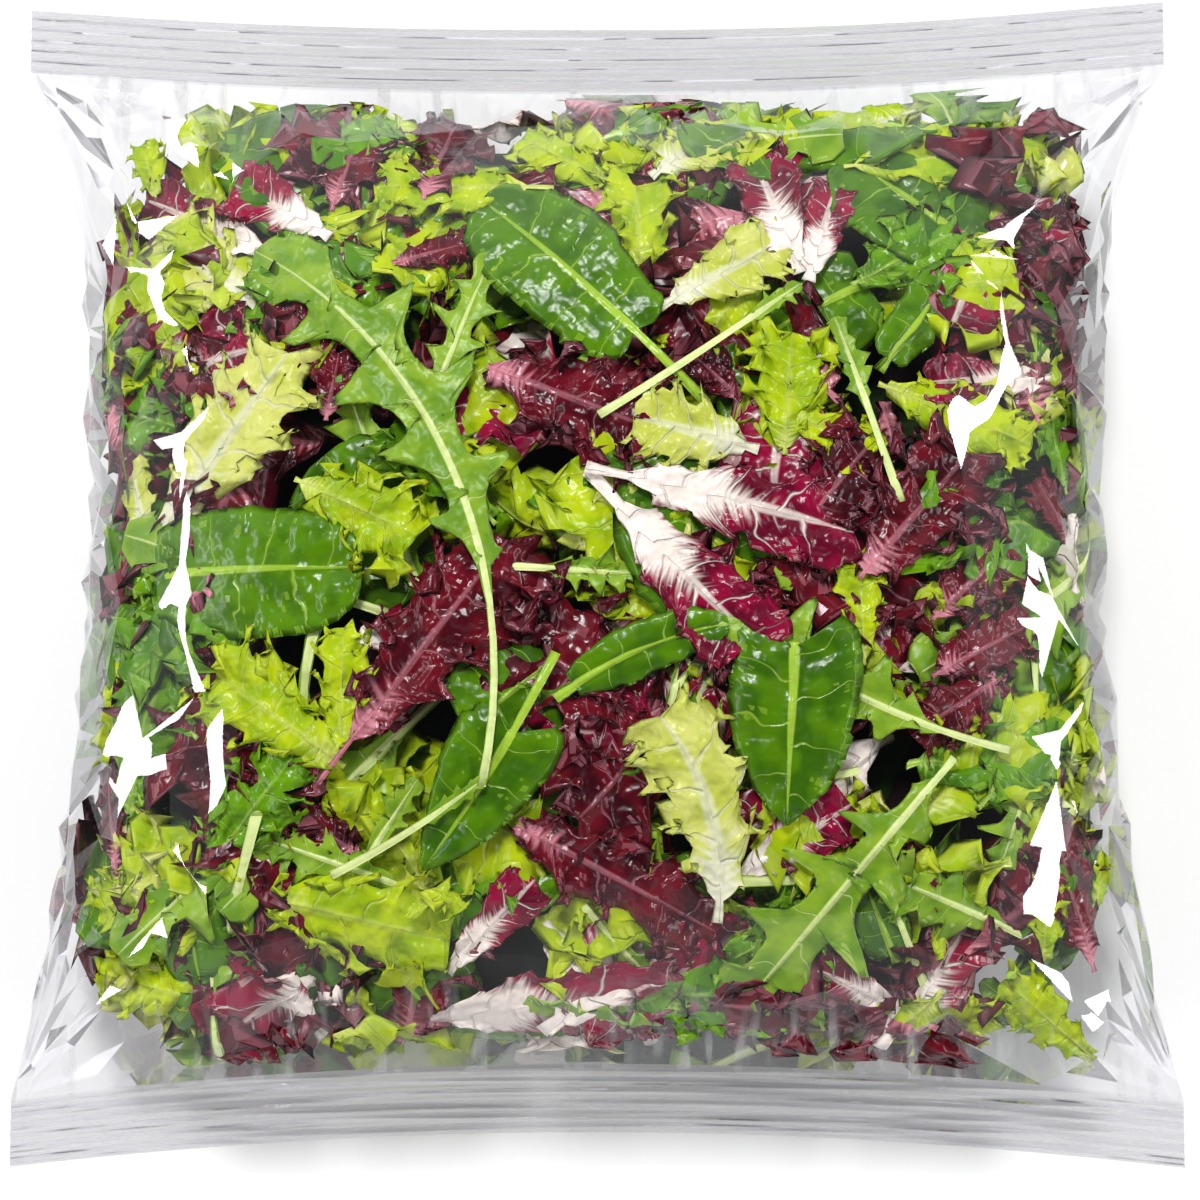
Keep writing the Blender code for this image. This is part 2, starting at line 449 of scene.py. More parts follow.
def clear_film_material():
    """Clear film: it lets most light through and mirrors the rest, and is duller where fused. The light and grey
    streaks on the seals and the white streaks beside them are painted highlights and painted shade.
    """
    material = new_material("clear_film")
    tree = material.node_tree
    place = add_node(tree, "ShaderNodeTexCoord").outputs["Object"]
    pucker = add_node(tree, "ShaderNodeAttribute", attribute_name="pucker").outputs["Fac"]
    beyond = add_node(tree, "ShaderNodeAttribute", attribute_name="beyond").outputs["Fac"]
    fused = ramp(tree, beyond, 0.0, 0.1)
    slack = add_node(tree, "ShaderNodeTexNoise", {"Vector": place, "Scale": 90.0, "Detail": 0.0}).outputs[0]
    gather_glints = add_node(tree, "ShaderNodeVectorMath", {0: place, 1: (330, 45, 45)}, operation="MULTIPLY")
    gather_glints = {"Vector": gather_glints.outputs[0], "Scale": 1.0, "Detail": 0.0}
    gather_glints = add_node(tree, "ShaderNodeTexNoise", gather_glints).outputs[0]
    bump = add_node(tree, "ShaderNodeBump", {"Height": slack, "Strength": 0.06, "Distance": 0.001}).outputs[0]
    # The seals' film is hazier where fused; the light and grey streaks laid over it here are painted highlights and
    # painted shade for the ribs' reflections.
    rib_glint_streaks = add_node(tree, "ShaderNodeVectorMath", {0: place, 1: (8, 420, 0)}, operation="MULTIPLY")
    rib_glint_streaks = {"Vector": rib_glint_streaks.outputs[0], "Scale": 1.0, "Detail": 1.0}
    rib_glint_streaks = add_node(tree, "ShaderNodeTexNoise", rib_glint_streaks).outputs[0]
    turns = calculated(tree, "MULTIPLY_ADD", beyond, 12 * math.pi, calculated(tree, "MULTIPLY", rib_glint_streaks, 5.0))
    rib_glint_streaks = calculated(tree, "MULTIPLY_ADD", calculated(tree, "SINE", turns), 0.12, rib_glint_streaks)
    rib_glint_streaks = ramp(tree, rib_glint_streaks, 0.34, 0.68)
    pressed = mixed(tree, rib_glint_streaks, (0.82, 0.815, 0.835, 1), (0.95, 0.945, 0.96, 1))
    tint = mixed(tree, fused, (0.940, 0.939, 0.948, 1), pressed)
    through = add_node(tree, "ShaderNodeBsdfTransparent", {"Color": tint})
    gloss = {"Base Color": (0.92, 0.92, 0.95, 1), "Metallic": 1.0, "Roughness": 0.0, "Normal": bump}
    mirror = add_node(tree, "ShaderNodeBsdfPrincipled", gloss)
    share = add_node(tree, "ShaderNodeFresnel", {"IOR": 1.55, "Normal": bump}).outputs[0]
    share = calculated(tree, "MINIMUM", share, 0.7)
    film = add_node(tree, "ShaderNodeMixShader", {0: share, 1: through.outputs[0], 2: mirror.outputs[0]})
    glint_haze = calculated(tree, "MULTIPLY", calculated(tree, "MULTIPLY", rib_glint_streaks, fused), 0.46)
    # White streaks where the film gathers beside the seals: painted highlights for light caught in its crinkles.
    crinkle_glints = calculated(tree, "MULTIPLY", ramp(tree, gather_glints, 0.55, 0.75), pucker)
    crinkle_glints = calculated(tree, "MULTIPLY", crinkle_glints, calculated(tree, "SUBTRACT", 1.0, fused))
    glint_haze = calculated(tree, "MULTIPLY_ADD", crinkle_glints, 0.30, glint_haze, use_clamp=True)
    frost_and_glint = {"Base Color": (0.90, 0.90, 0.915, 1), "Roughness": 0.45}
    frost_and_glint = add_node(tree, "ShaderNodeBsdfPrincipled", frost_and_glint)
    film = add_node(tree, "ShaderNodeMixShader", {0: glint_haze, 1: film.outputs[0], 2: frost_and_glint.outputs[0]})
    add_node(tree, "ShaderNodeOutputMaterial", {"Surface": film.outputs[0]})
    return material


def see_directly(piece):
    """Keep clear film out of the paths of shadows and bounced light, which pass it nearly whole."""
    piece.visible_diffuse = False
    piece.visible_glossy = False
    piece.visible_shadow = False


clear_film = clear_film_material()
bag_film = flat_film()
seal_ribs = {"Ribs": 6.0, "Rib height": 0.00036, "Seam width": 0.013, "Film": clear_film}
run_tree(bag_film, seal_rib_tree(), seal_ribs)
bag_film.data.set_sharp_from_angle(angle=math.radians(6))
see_directly(bag_film)
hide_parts("salad_bag")
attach(bag_film, "root")


# The fin seal: the tube's long seam on the bag's back, where its two edges are fused face to
# face and laid over flat. It runs on through both end seals, and shows through them as crinkles.
FIN_WIDTH, FIN_THICKNESS = 0.014, 0.0003
FIN_COLUMNS, FIN_ROWS = 6, 240


def fin_strip():
    reach = BODY_END - SEAL_DRAW - 0.0004
    y, x = np.meshgrid(
        np.linspace(-reach, reach, FIN_ROWS + 1),
        np.linspace(-1, 1, FIN_COLUMNS + 1) * FIN_WIDTH / 2,
        indexing="ij",
    )
    u, v = shares(x, y)
    below = sheet_height(np.clip(u, -1, 1), np.clip(v, -1, 1), -1)
    free = np.abs(x) / FIN_WIDTH
    ripple = 0.00035 * np.sin(2600 * y + 300 * x) * np.cos(1450 * y - 500 * x) * (0.6 + free)
    fused = np.clip((np.abs(v) - 1) * 20, 0, 1)
    top = np.maximum(below - 0.0002 - 0.0009 * fused + ripple * fused, 0.0004)
    upper = np.stack([x, y, top], axis=-1)
    lower = np.stack([x, y, np.maximum(top - FIN_THICKNESS, 0.0)], axis=-1)
    ids = np.arange(upper[..., 0].size).reshape(x.shape)
    quads = np.stack([ids[:-1, :-1], ids[:-1, 1:], ids[1:, 1:], ids[1:, :-1]], axis=-1).reshape(-1, 4)
    loop = np.concatenate([ids[0], ids[1:, -1], ids[-1, -2::-1], ids[-2:0:-1, 0]])
    under = quads[:, ::-1] + ids.size
    rim = np.stack([np.roll(loop, -1), loop, loop + ids.size, np.roll(loop, -1) + ids.size], axis=-1)
    faces = np.concatenate([quads, under, rim[:, ::-1]])
    points = np.concatenate([upper.reshape(-1, 3), lower.reshape(-1, 3)])
    strip = mesh_piece("fin_seal", points, faces.tolist())
    set_attribute(strip, "pucker", np.full(len(points), 0.0))
    set_attribute(strip, "beyond", np.full(len(points), 0.0))
    strip.data.materials.append(clear_film)
    return strip


fin_seal = fin_strip()
fin_seal.data.set_sharp_from_angle(angle=math.radians(35))
see_directly(fin_seal)
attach(fin_seal, "root")


# The heart of the heap: leaves packed too deep to be seen singly, as one uneven mass that
# stops short of the film on every side, coloured near black as painted shade for the gaps
# between leaves. The loose leaves below are laid over it.
CORE_INSET, HEAP_INSET = 0.022, 0.009
CORE_ROWS = 56


def heap_shape(name, inset, unevenness, seed):
    """A closed rounded heap that stays an inset inside the film."""
    random = np.random.default_rng(seed)
    bumps = random.uniform(-1, 1, (40, 5))
    steps = np.sin(np.linspace(-1, 1, CORE_ROWS + 1) * math.pi / 2)
    v, u = np.meshgrid(steps, steps, indexing="ij")
    swell = np.zeros_like(u)
    for turn_x, turn_y, phase, size, _ in bumps:
        swell += size * np.cos(14 * turn_x * u + 14 * turn_y * v + 3 * phase)
    swell *= unevenness / 3
    middle = SEAL_HEIGHT - 0.002
    surfaces = []
    for over in (1, -1):
        shell = sheet_point(u * 0.97, v * 0.97, over)
        depth = np.abs(shell[..., 2] - middle)
        shrunk = depth * np.clip(1 - inset / 0.034, 0.1, 1) * np.clip(1 + over * swell, 0.7, 1.3)
        shell[..., 2] = middle + over * shrunk
        corner = 1 - 0.18 * u**4 * v**4
        shell[..., 0] *= corner * (1 - inset / HALF_WIDTH * 0.9)
        shell[..., 1] *= corner * (1 - inset / BODY_END * 0.6)
        surfaces.append(shell)
    ids = np.arange(u.size).reshape(u.shape)
    quads = np.stack([ids[:-1, :-1], ids[:-1, 1:], ids[1:, 1:], ids[1:, :-1]], axis=-1).reshape(-1, 4)
    heap = mesh_piece(
        name,
        np.concatenate([surface.reshape(-1, 3) for surface in surfaces]),
        np.concatenate([quads, quads[:, ::-1] + u.size]).tolist(),
    )
    bm = bmesh.new()
    bm.from_mesh(heap.data)
    bmesh.ops.bridge_loops(bm, edges=[edge for edge in bm.edges if edge.is_boundary])
    bmesh.ops.recalc_face_normals(bm, faces=bm.faces)
    bm.to_mesh(heap.data)
    bm.free()
    heap.data.shade_smooth()
    return heap


def painted_shade_leaf_material():
    """Crushed green and red leaf, coloured near black as painted shade for the deep gaps between leaves."""
    material = new_material("shaded_leaf")
    tree = material.node_tree
    place = add_node(tree, "ShaderNodeTexCoord").outputs["Object"]
    patches = add_node(tree, "ShaderNodeTexNoise", {"Vector": place, "Scale": 70.0, "Detail": 4.0}).outputs[0]
    kinds = add_node(tree, "ShaderNodeTexVoronoi", {"Vector": place, "Scale": 60.0}).outputs["Color"]
    kind = add_node(tree, "ShaderNodeSeparateColor", {0: kinds}).outputs[0]
    # Near-black greens and reds: painted shade for the depths of the heap, darker than the leaves' own colour.
    green = mixed(tree, patches, (0.004, 0.014, 0.001, 1), (0.018, 0.048, 0.004, 1))
    colour = mixed(tree, ramp(tree, kind, 0.55, 0.62), green, (0.014, 0.003, 0.004, 1))
    relief = add_node(tree, "ShaderNodeTexNoise", {"Vector": place, "Scale": 220.0, "Detail": 5.0}).outputs[0]
    bump = add_node(tree, "ShaderNodeBump", {"Height": relief, "Strength": 0.8, "Distance": 0.002})
    rough = calculated(tree, "MULTIPLY_ADD", patches, 0.3, 0.4)
    look = {"Base Color": colour, "Roughness": rough, "Normal": bump.outputs[0]}
    shader = add_node(tree, "ShaderNodeBsdfPrincipled", look)
    shader.inputs["Specular IOR Level"].default_value = 0.1
    add_node(tree, "ShaderNodeOutputMaterial", {"Surface": shader.outputs[0]})
    return material


leaf_core = heap_shape("leaf_core", CORE_INSET, 0.12, 5)
leaf_core.data.materials.append(painted_shade_leaf_material())
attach(leaf_core, "root")


# Baby spinach: whole oval leaves on a thin stalk, thick, dark and glossy, with pale sunk veins
# and the blade quilted up between them. Leaves are laid one by one where they are seen, and the
# ones beneath are strewn through the outer part of the heap.
BLADE_STEPS = np.array((0.14, 0.3, 0.48, 0.66, 0.84, 1.0))
RIB_STEPS = np.array((-1, -0.5, 0, 0.5, 1))
BLADE_COLUMNS = np.concatenate([-BLADE_STEPS[::-1], 0 * RIB_STEPS, BLADE_STEPS])
RIB_COLUMNS = np.concatenate([-np.ones(6), RIB_STEPS, np.ones(6)])
RIGHT = (np.arange(17) > 8).astype(int)
ROUND = np.concatenate([np.arange(17), np.arange(15, 0, -1)])
FILM_CLEARANCE = 0.0009
MM = 0.001


def jagged(t, count, random, low, high):
    """Straight-sided random teeth, from low to high, count of them over t from 0 to 1."""
    levels = random.uniform(low, high, count + 1)
    return np.interp(t * count, np.arange(count + 1), levels)


def lobed(vein, random, depth, gap):
    """The share left between lobes that end on the side veins, with a round gap between each two."""
    middle = 2 * np.abs(vein % 1 - 0.5)
    size = random.uniform(0.82, 1.0, 20)[np.clip(np.round(vein), 0, 19).astype(int)]
    deep = depth * random.uniform(0.75, 1.15, 20)[np.clip(vein, 0, 19).astype(int)]
    return size * (1 - deep * np.sqrt(np.clip(1 - (middle / gap) ** 2, 0, 1)))


def waving(t, count, random):
    """A wavy margin's height and swing, with waves uneven in length and height."""
    turns = count * (t + jagged(t, 6, random, -0.05, 0.05)) + random.uniform()
    height = jagged(t, 9, random, 0.55, 1.25)
    return height * np.sin(2 * np.pi * turns), height * np.cos(2 * np.pi * turns)


def leaf(length, width, seed, outline, stalk=0.1, rib=1.8, rib_height=1.2, lean=(-0.3, 0.8), skin=0.4,
         veins=5, quilt=0.3, crinkle=0.2, ruffle=0.0, waves=5, curl=0.6, cup=0.0, sway=0.03, warp=0.03,
         close=0.9, lobes=0.0, gap=0.6, lobe_end=1.2, trim=1.0, bite=0.0):
    """One leaf along +y, its stalk's end at the origin, as rings of points round a closed skin.

    Widths and heights of small features are in millimetres, and ruffle, cup, sway and warp are
    shares of the leaf's size. Gives rings of points, of (blade, along, vein), and of (x, y, side).
    """
    random = np.random.default_rng(seed)
    teeth = int(np.clip(length * (1 - stalk) / (4 * close * MM), 4, 26))
    steps = random.uniform(0.6, 1.4, teeth)
    marks = np.concatenate([[0], np.cumsum(steps)[:-1]])
    blade_rows = (marks[:, None] + steps[:, None] * np.array((0, 0.16, 0.5, 0.84))).ravel() / steps.sum()
    blade_rows = np.append(blade_rows, 1)
    bites = random.uniform(0.45, 1.3, (2, teeth, 1)) * np.array((0, 0.8, 1, 0.8)) * bite
    bites = np.pad(bites.reshape(2, -1), ((0, 0), (0, 1)))
    blade_rows = stalk + (1 - stalk) * (1 - (1 - blade_rows) ** 1.15)
    stalk_rows = np.linspace(0, stalk, 2 + int(12 * stalk), endpoint=False)
    bites = np.pad(bites, ((0, 0), (len(stalk_rows), 0)))
    along = np.concatenate([stalk_rows, blade_rows])[:, None]
    t = np.clip((along - stalk) / (1 - stalk), 0, 1)
    w, sign = np.abs(BLADE_COLUMNS), np.sign(BLADE_COLUMNS)
    start = random.uniform(0, 0.5)
    vein = veins * t**0.85 + 0.5 * RIGHT + start
    full = outline(t, random) * width / 2
    depth = lobes * np.clip((lobe_end - t[:, 0]) * 9, 0, 1)
    cuts = np.stack([1 - lobed(vein[:, 16 * side], random, depth, gap) for side in range(2)])[RIGHT].T
    half = full * (1 - cuts * w**trim - bites[RIGHT].T * w**3)
    half = np.where(along < stalk, 0, half) + 0.00004
    slant = lean[0] + (lean[1] - lean[0]) * t**0.8
    reach = slant * (0.3 * full + 0.7 * half) * w * (0.6 + 0.4 * w)
    ahead = 0.85 * (1 - t) * length * (1 - stalk) + 1e-6
    reach = np.where(reach > 0, reach / (1 + np.maximum(reach, 0) / ahead), reach)
    rib_half = rib * MM / 2 * (1 - 0.3 * np.clip(along / max(stalk, 0.01), 0, 1)) * (0.12 + 0.88 * (1 - t) ** 1.2)
    flat_x = RIB_COLUMNS * rib_half + sign * w * half
    flat_y = along * length + reach
    waves_of = np.array([waving(t[:, 0], waves, random) for _ in range(2)])
    fine_of = np.array([waving(t[:, 0], int(waves * 2.7) + 1, random) for _ in range(2)])
    wave, swing = waves_of[RIGHT, 0].T, waves_of[RIGHT, 1].T
    fine, fine_swing = fine_of[RIGHT, 0].T, fine_of[RIGHT, 1].T
    size = ruffle * width * np.clip(full / (0.2 * width), 0, 1)
    grow, late = w**1.6 * size, w**3 * size * 0.6
    x = flat_x - sign * 0.35 * (grow * np.abs(wave) + late * np.abs(fine))
    y = flat_y + curl * (grow * swing + late * fine_swing)
    pillow = np.abs(np.sin(np.pi * vein)) ** 0.7 * np.sqrt(w * (1 - w)) * 2 * quilt * MM
    phases = random.uniform(0, 2 * np.pi, 10)
    z = grow * wave + late * fine + pillow
    z = z + cup * (flat_x / width) ** 2 * width * 2
    z = z - sway * length * (2 * along - 1) ** 2
    z = z + warp * width * np.sin(9 * flat_x / width + phases[0]) * np.sin(7 * along + phases[1])
    z = z + 0.6 * warp * width * np.sin(17 * flat_x / width + phases[2]) * np.sin(15 * along + phases[3])
    for turn in range(3):
        aside, ahead = math.cos(phases[4 + turn]), math.sin(phases[4 + turn])
        ripple = np.sin((aside * flat_x + ahead * flat_y) / (0.75 * MM) + phases[7 + turn])
        z = z + crinkle * MM * 0.6 * ripple * np.minimum(1, full / (3 * MM)) * np.minimum(1, 4 * w)
    bulge = rib_height * MM * (1 - RIB_COLUMNS**2) * (1 - 0.8 * along)
    thick = skin * MM / 2 * (1 - 0.7 * w)
    upper = np.stack([x, y, z + thick + 0.45 * bulge], axis=-1)
    lower = np.stack([x, y, z - thick - 0.55 * bulge], axis=-1)
    rings = np.concatenate([upper, lower[:, 15:0:-1]], axis=1)
    every = np.ones_like(x)
    blade = np.stack([every * w, every * t, every * vein], axis=-1)[:, ROUND]
    under = (np.arange(32) > 16) * 1.0
    sheet = np.stack([(every * flat_x)[:, ROUND], (every * flat_y)[:, ROUND], every[:, ROUND] * under], axis=-1)
    return rings, blade, sheet


def skin_faces(rows):
    """Faces of one leaf of this many rings: quads round it, and a cap at each end."""
    ids = np.arange(rows * 32).reshape(rows, 32)
    following = np.roll(ids, -1, axis=1)
    quads = np.stack([ids[:-1], following[:-1], following[1:], ids[1:]], axis=-1).reshape(-1, 4)
    return quads.tolist() + [ids[0][::-1].tolist(), ids[-1].tolist()]


def packed(points, cover):
    """Points pressed back under the film, and under a cover below it, keeping their order."""
    u, v = shares(points[:, 0], points[:, 1])
    limits = np.stack([u / 0.965, v / 0.985])
    u_share, v_share = limits / (1 + np.abs(limits) ** 24) ** (1 / 24)
    pressed = sheet_point(u_share * 0.965, v_share * 0.985, 1)
    slope = np.clip(2.2 * (0.95 - np.abs(u_share)), 0.1, 1) * np.clip(4 * (0.97 - np.abs(v_share)), 0.1, 1)
    top = pressed[:, 2] - FILM_CLEARANCE * (1 + np.clip((np.abs(u_share) - 0.7) * 4, 0, 1)) - cover * slope
    bottom = sheet_height(u_share * 0.965, v_share * 0.985, -1) + FILM_CLEARANCE
    middle, room = (top + bottom) / 2, np.maximum((top - bottom) / 2, 0.0003)
    level = (points[:, 2] - middle) / room
    level = level / (1 + np.abs(level) ** 6) ** (1 / 6)
    return np.column_stack([pressed[:, :2], middle + room * level])


def laid(rings, start, end, bend, roll, depths):
    """A leaf's rings in the bag, from its stalk's end to its tip, draped under the upper film."""
    start, end = np.array(start), np.array(end)
    chord = np.linalg.norm(end - start)
    ahead = (end - start) / chord
    aside = np.array((ahead[1], -ahead[0]))
    half_turn = math.radians(bend) / 2 + 1e-4
    length = chord * half_turn / math.sin(half_turn)
    x = rings[..., 0] * math.cos(roll) + rings[..., 2] * math.sin(roll)
    z = rings[..., 2] * math.cos(roll) - rings[..., 0] * math.sin(roll)
    turning = 2 * half_turn / length
    heading = turning * (rings[..., 1] - length / 2)
    forward = (np.sin(heading) + math.sin(half_turn)) / turning + x * np.sin(heading)
    sideways = (np.cos(heading) - math.cos(half_turn)) / turning + x * np.cos(heading)
    plan = start + forward[..., None] * ahead + sideways[..., None] * aside
    u, v = shares(plan[..., 0], plan[..., 1])
    depth = depths[0] + (depths[1] - depths[0]) * rings[..., 1] / length
    top = sheet_height(np.clip(u, -0.97, 0.97), np.clip(v, -0.98, 0.98), 1)
    z = np.where(z > 0, z / (1 + np.maximum(z, 0) / (0.45 * depth)), z)
    return np.concatenate([plan, (top - depth + z)[..., None]], axis=-1)


def leaf_length(row):
    chord = math.hypot(row[2] - row[0], row[3] - row[1]) * MM
    half_turn = math.radians(row[8]) / 2 + 1e-4
    return chord * half_turn / math.sin(half_turn)


def leaf_piece(name, leaves, strewn):
    """One mesh of many leaves, each given as its rings, blade and sheet values and tone."""
    points, blades, sheets, tones, faces, first = [], [], [], [], [], 0
    for rings, blade, sheet, tone in leaves:
        count = rings.shape[0] * 32
        points.append(rings.reshape(-1, 3))
        blades.append(blade.reshape(-1, 3))
        sheets.append(sheet.reshape(-1, 3))
        tones.append(np.full(count, tone))
        faces += [[first + i for i in face] for face in skin_faces(rings.shape[0])]
        first += count
    piece = mesh_piece(name, np.concatenate(points), faces)
    set_attribute(piece, "blade", np.concatenate(blades), "FLOAT_VECTOR")
    set_attribute(piece, "sheet", np.concatenate(sheets), "FLOAT_VECTOR")
    set_attribute(piece, "tone", np.concatenate(tones))
    set_attribute(piece, "strewn", np.full(len(piece.data.vertices), strewn))
    return piece


def bury_tree():
    """Strews leaves over the heap under the ones laid one by one, each turned and tilted anew."""
    inputs = (
        ("Heap", "Object"), ("Leaves", "Collection"), ("Density", "Float"), ("Seed", "Int"),
        ("Least size", "Float"), ("Most size", "Float"), ("Tilt", "Float"), ("Leaf", "Material"),
    )
    tree, given = new_tree("bury leaves", inputs)
    heap = add_node(tree, "GeometryNodeObjectInfo", {"Object": given["Heap"]}).outputs["Geometry"]
    up = add_node(tree, "GeometryNodeInputNormal").outputs[0]
    up = add_node(tree, "ShaderNodeSeparateXYZ", {0: up}).outputs[2]
    density = calculated(tree, "MULTIPLY", given["Density"], ramp(tree, up, -0.7, 0.3))
    density = calculated(tree, "MULTIPLY_ADD", given["Density"], 0.3, density)
    strewn = {"Mesh": heap, "Density": density, "Seed": given["Seed"]}
    spots = add_node(tree, "GeometryNodeDistributePointsOnFaces", strewn, distribute_method="RANDOM")
    leaves = add_node(tree, "GeometryNodeCollectionInfo", {"Collection": given["Leaves"]})
    leaves.inputs["Separate Children"].default_value = True
    leaves.inputs["Reset Children"].default_value = True
    tip = calculated(tree, "MULTIPLY", given["Tilt"], -1.0)
    least = add_node(tree, "ShaderNodeCombineXYZ", {0: tip, 1: tip, 2: -math.pi}).outputs[0]
    most = add_node(tree, "ShaderNodeCombineXYZ", {0: given["Tilt"], 1: given["Tilt"], 2: math.pi}).outputs[0]
    turn = add_node(tree, "FunctionNodeRandomValue", {"Seed": given["Seed"]}, data_type="FLOAT_VECTOR")
    tree.links.new(least, turn.inputs[0])
    tree.links.new(most, turn.inputs[1])
    spin = add_node(tree, "FunctionNodeEulerToRotation", {0: turn.outputs[0]}).outputs[0]
    lie = {"Rotation": spots.outputs["Rotation"], "Rotate By": spin}
    lie = add_node(tree, "FunctionNodeRotateRotation", lie, rotation_space="LOCAL").outputs[0]
    size = add_node(tree, "FunctionNodeRandomValue", data_type="FLOAT")
    tree.links.new(given["Least size"], size.inputs[2])
    tree.links.new(given["Most size"], size.inputs[3])
    tree.links.new(calculated(tree, "ADD", given["Seed"], 7.0), size.inputs["Seed"])
    scale = add_node(tree, "ShaderNodeCombineXYZ", {i: size.outputs[1] for i in range(3)}).outputs[0]
    placed = {"Points": spots.outputs["Points"], "Instance": leaves.outputs[0], "Pick Instance": True}
    placed.update({"Rotation": lie, "Scale": scale})
    placed = add_node(tree, "GeometryNodeInstanceOnPoints", placed).outputs[0]
    tone = add_node(tree, "FunctionNodeRandomValue", {"Seed": 3}, data_type="FLOAT").outputs[1]
    toned = {"Geometry": placed, "Name": "tone", "Value": tone}
    toned = add_node(tree, "GeometryNodeStoreNamedAttribute", toned, data_type="FLOAT", domain="INSTANCE")
    real = add_node(tree, "GeometryNodeRealizeInstances", {0: toned.outputs[0]}).outputs[0]
    joined = add_node(tree, "GeometryNodeJoinGeometry")
    tree.links.new(real, joined.inputs[0])
    tree.links.new(given["Geometry"], joined.inputs[0])
    done = {"Geometry": joined.outputs[0], "Material": given["Leaf"]}
    done = add_node(tree, "GeometryNodeSetMaterial", done).outputs[0]
    add_node(tree, "NodeGroupOutput", {0: done})
    return tree


bury_leaves = bury_tree()
heap_outside = heap_shape("heap_outside", HEAP_INSET, 0.10, 6)
BURIED_SHAPES = 4
LAID_DEPTH = 0.0060


def leaf_heap(name, groups, material, slot, seed, buried_size, density, **buried_habit):
    """All the leaves of one kind: the laid ones, and the strewn ones below them."""
    leaves = []
    random = np.random.default_rng(seed)
    laid_rows = [(habit, row) for habit, rows in groups for row in rows]
    for number, (habit, row) in enumerate(laid_rows):
        x0, y0, x1, y1, width, stalk, low, high, bend, roll = row
        length = leaf_length(row)
        shape = dict(habit, stalk=stalk)
        rings, blade, sheet = leaf(length, width * MM, seed + number, **shape)
        depths = (low * MM, high * MM)
        ends = ((x0 * MM, y0 * MM), (x1 * MM, y1 * MM))
        rings = laid(rings, *ends, bend, math.radians(roll), depths)
        leaves.append((rings, blade, sheet + (0.1 * number, 0, 0), random.uniform()))
    piece = leaf_piece(name, leaves, 0.0)
    shapes = bpy.data.collections.new(name + "_shapes")
    length, width = buried_size
    for number in range(BURIED_SHAPES):
        long, wide = length * random.uniform(0.8, 1.15), width * random.uniform(0.8, 1.15)
        rings, blade, sheet = leaf(long * MM, wide * MM, seed + 100 + number, **dict(groups[-1][0], **buried_habit))
        rings = rings - (0, long * MM / 2, 0)
        sheet = sheet + (0.1 * number + 5, 0, 0)
        shape = leaf_piece(f"{name}_{number}", [(rings, blade, sheet, 0.5)], 1.0)
        bpy.context.scene.collection.objects.unlink(shape)
        shapes.objects.link(shape)
    values = {
        "Heap": heap_outside, "Leaves": shapes, "Density": float(density), "Seed": seed,
        "Least size": 0.95, "Most size": 1.4, "Tilt": 0.4, "Leaf": material,
    }
    run_tree(piece, bury_leaves, values)
    mesh = piece.data
    points = np.empty(len(mesh.vertices) * 3)
    mesh.vertices.foreach_get("co", points)
    strewn = np.empty(len(mesh.vertices))
    mesh.attributes["strewn"].data.foreach_get("value", strewn)
    mesh.vertices.foreach_set("co", packed(points.reshape(-1, 3), strewn * LAID_DEPTH).ravel())
    mesh.update()
    for shape in list(shapes.objects):
        bpy.data.objects.remove(shape)
    bpy.data.collections.remove(shapes)
    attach(piece, "root")
    return piece


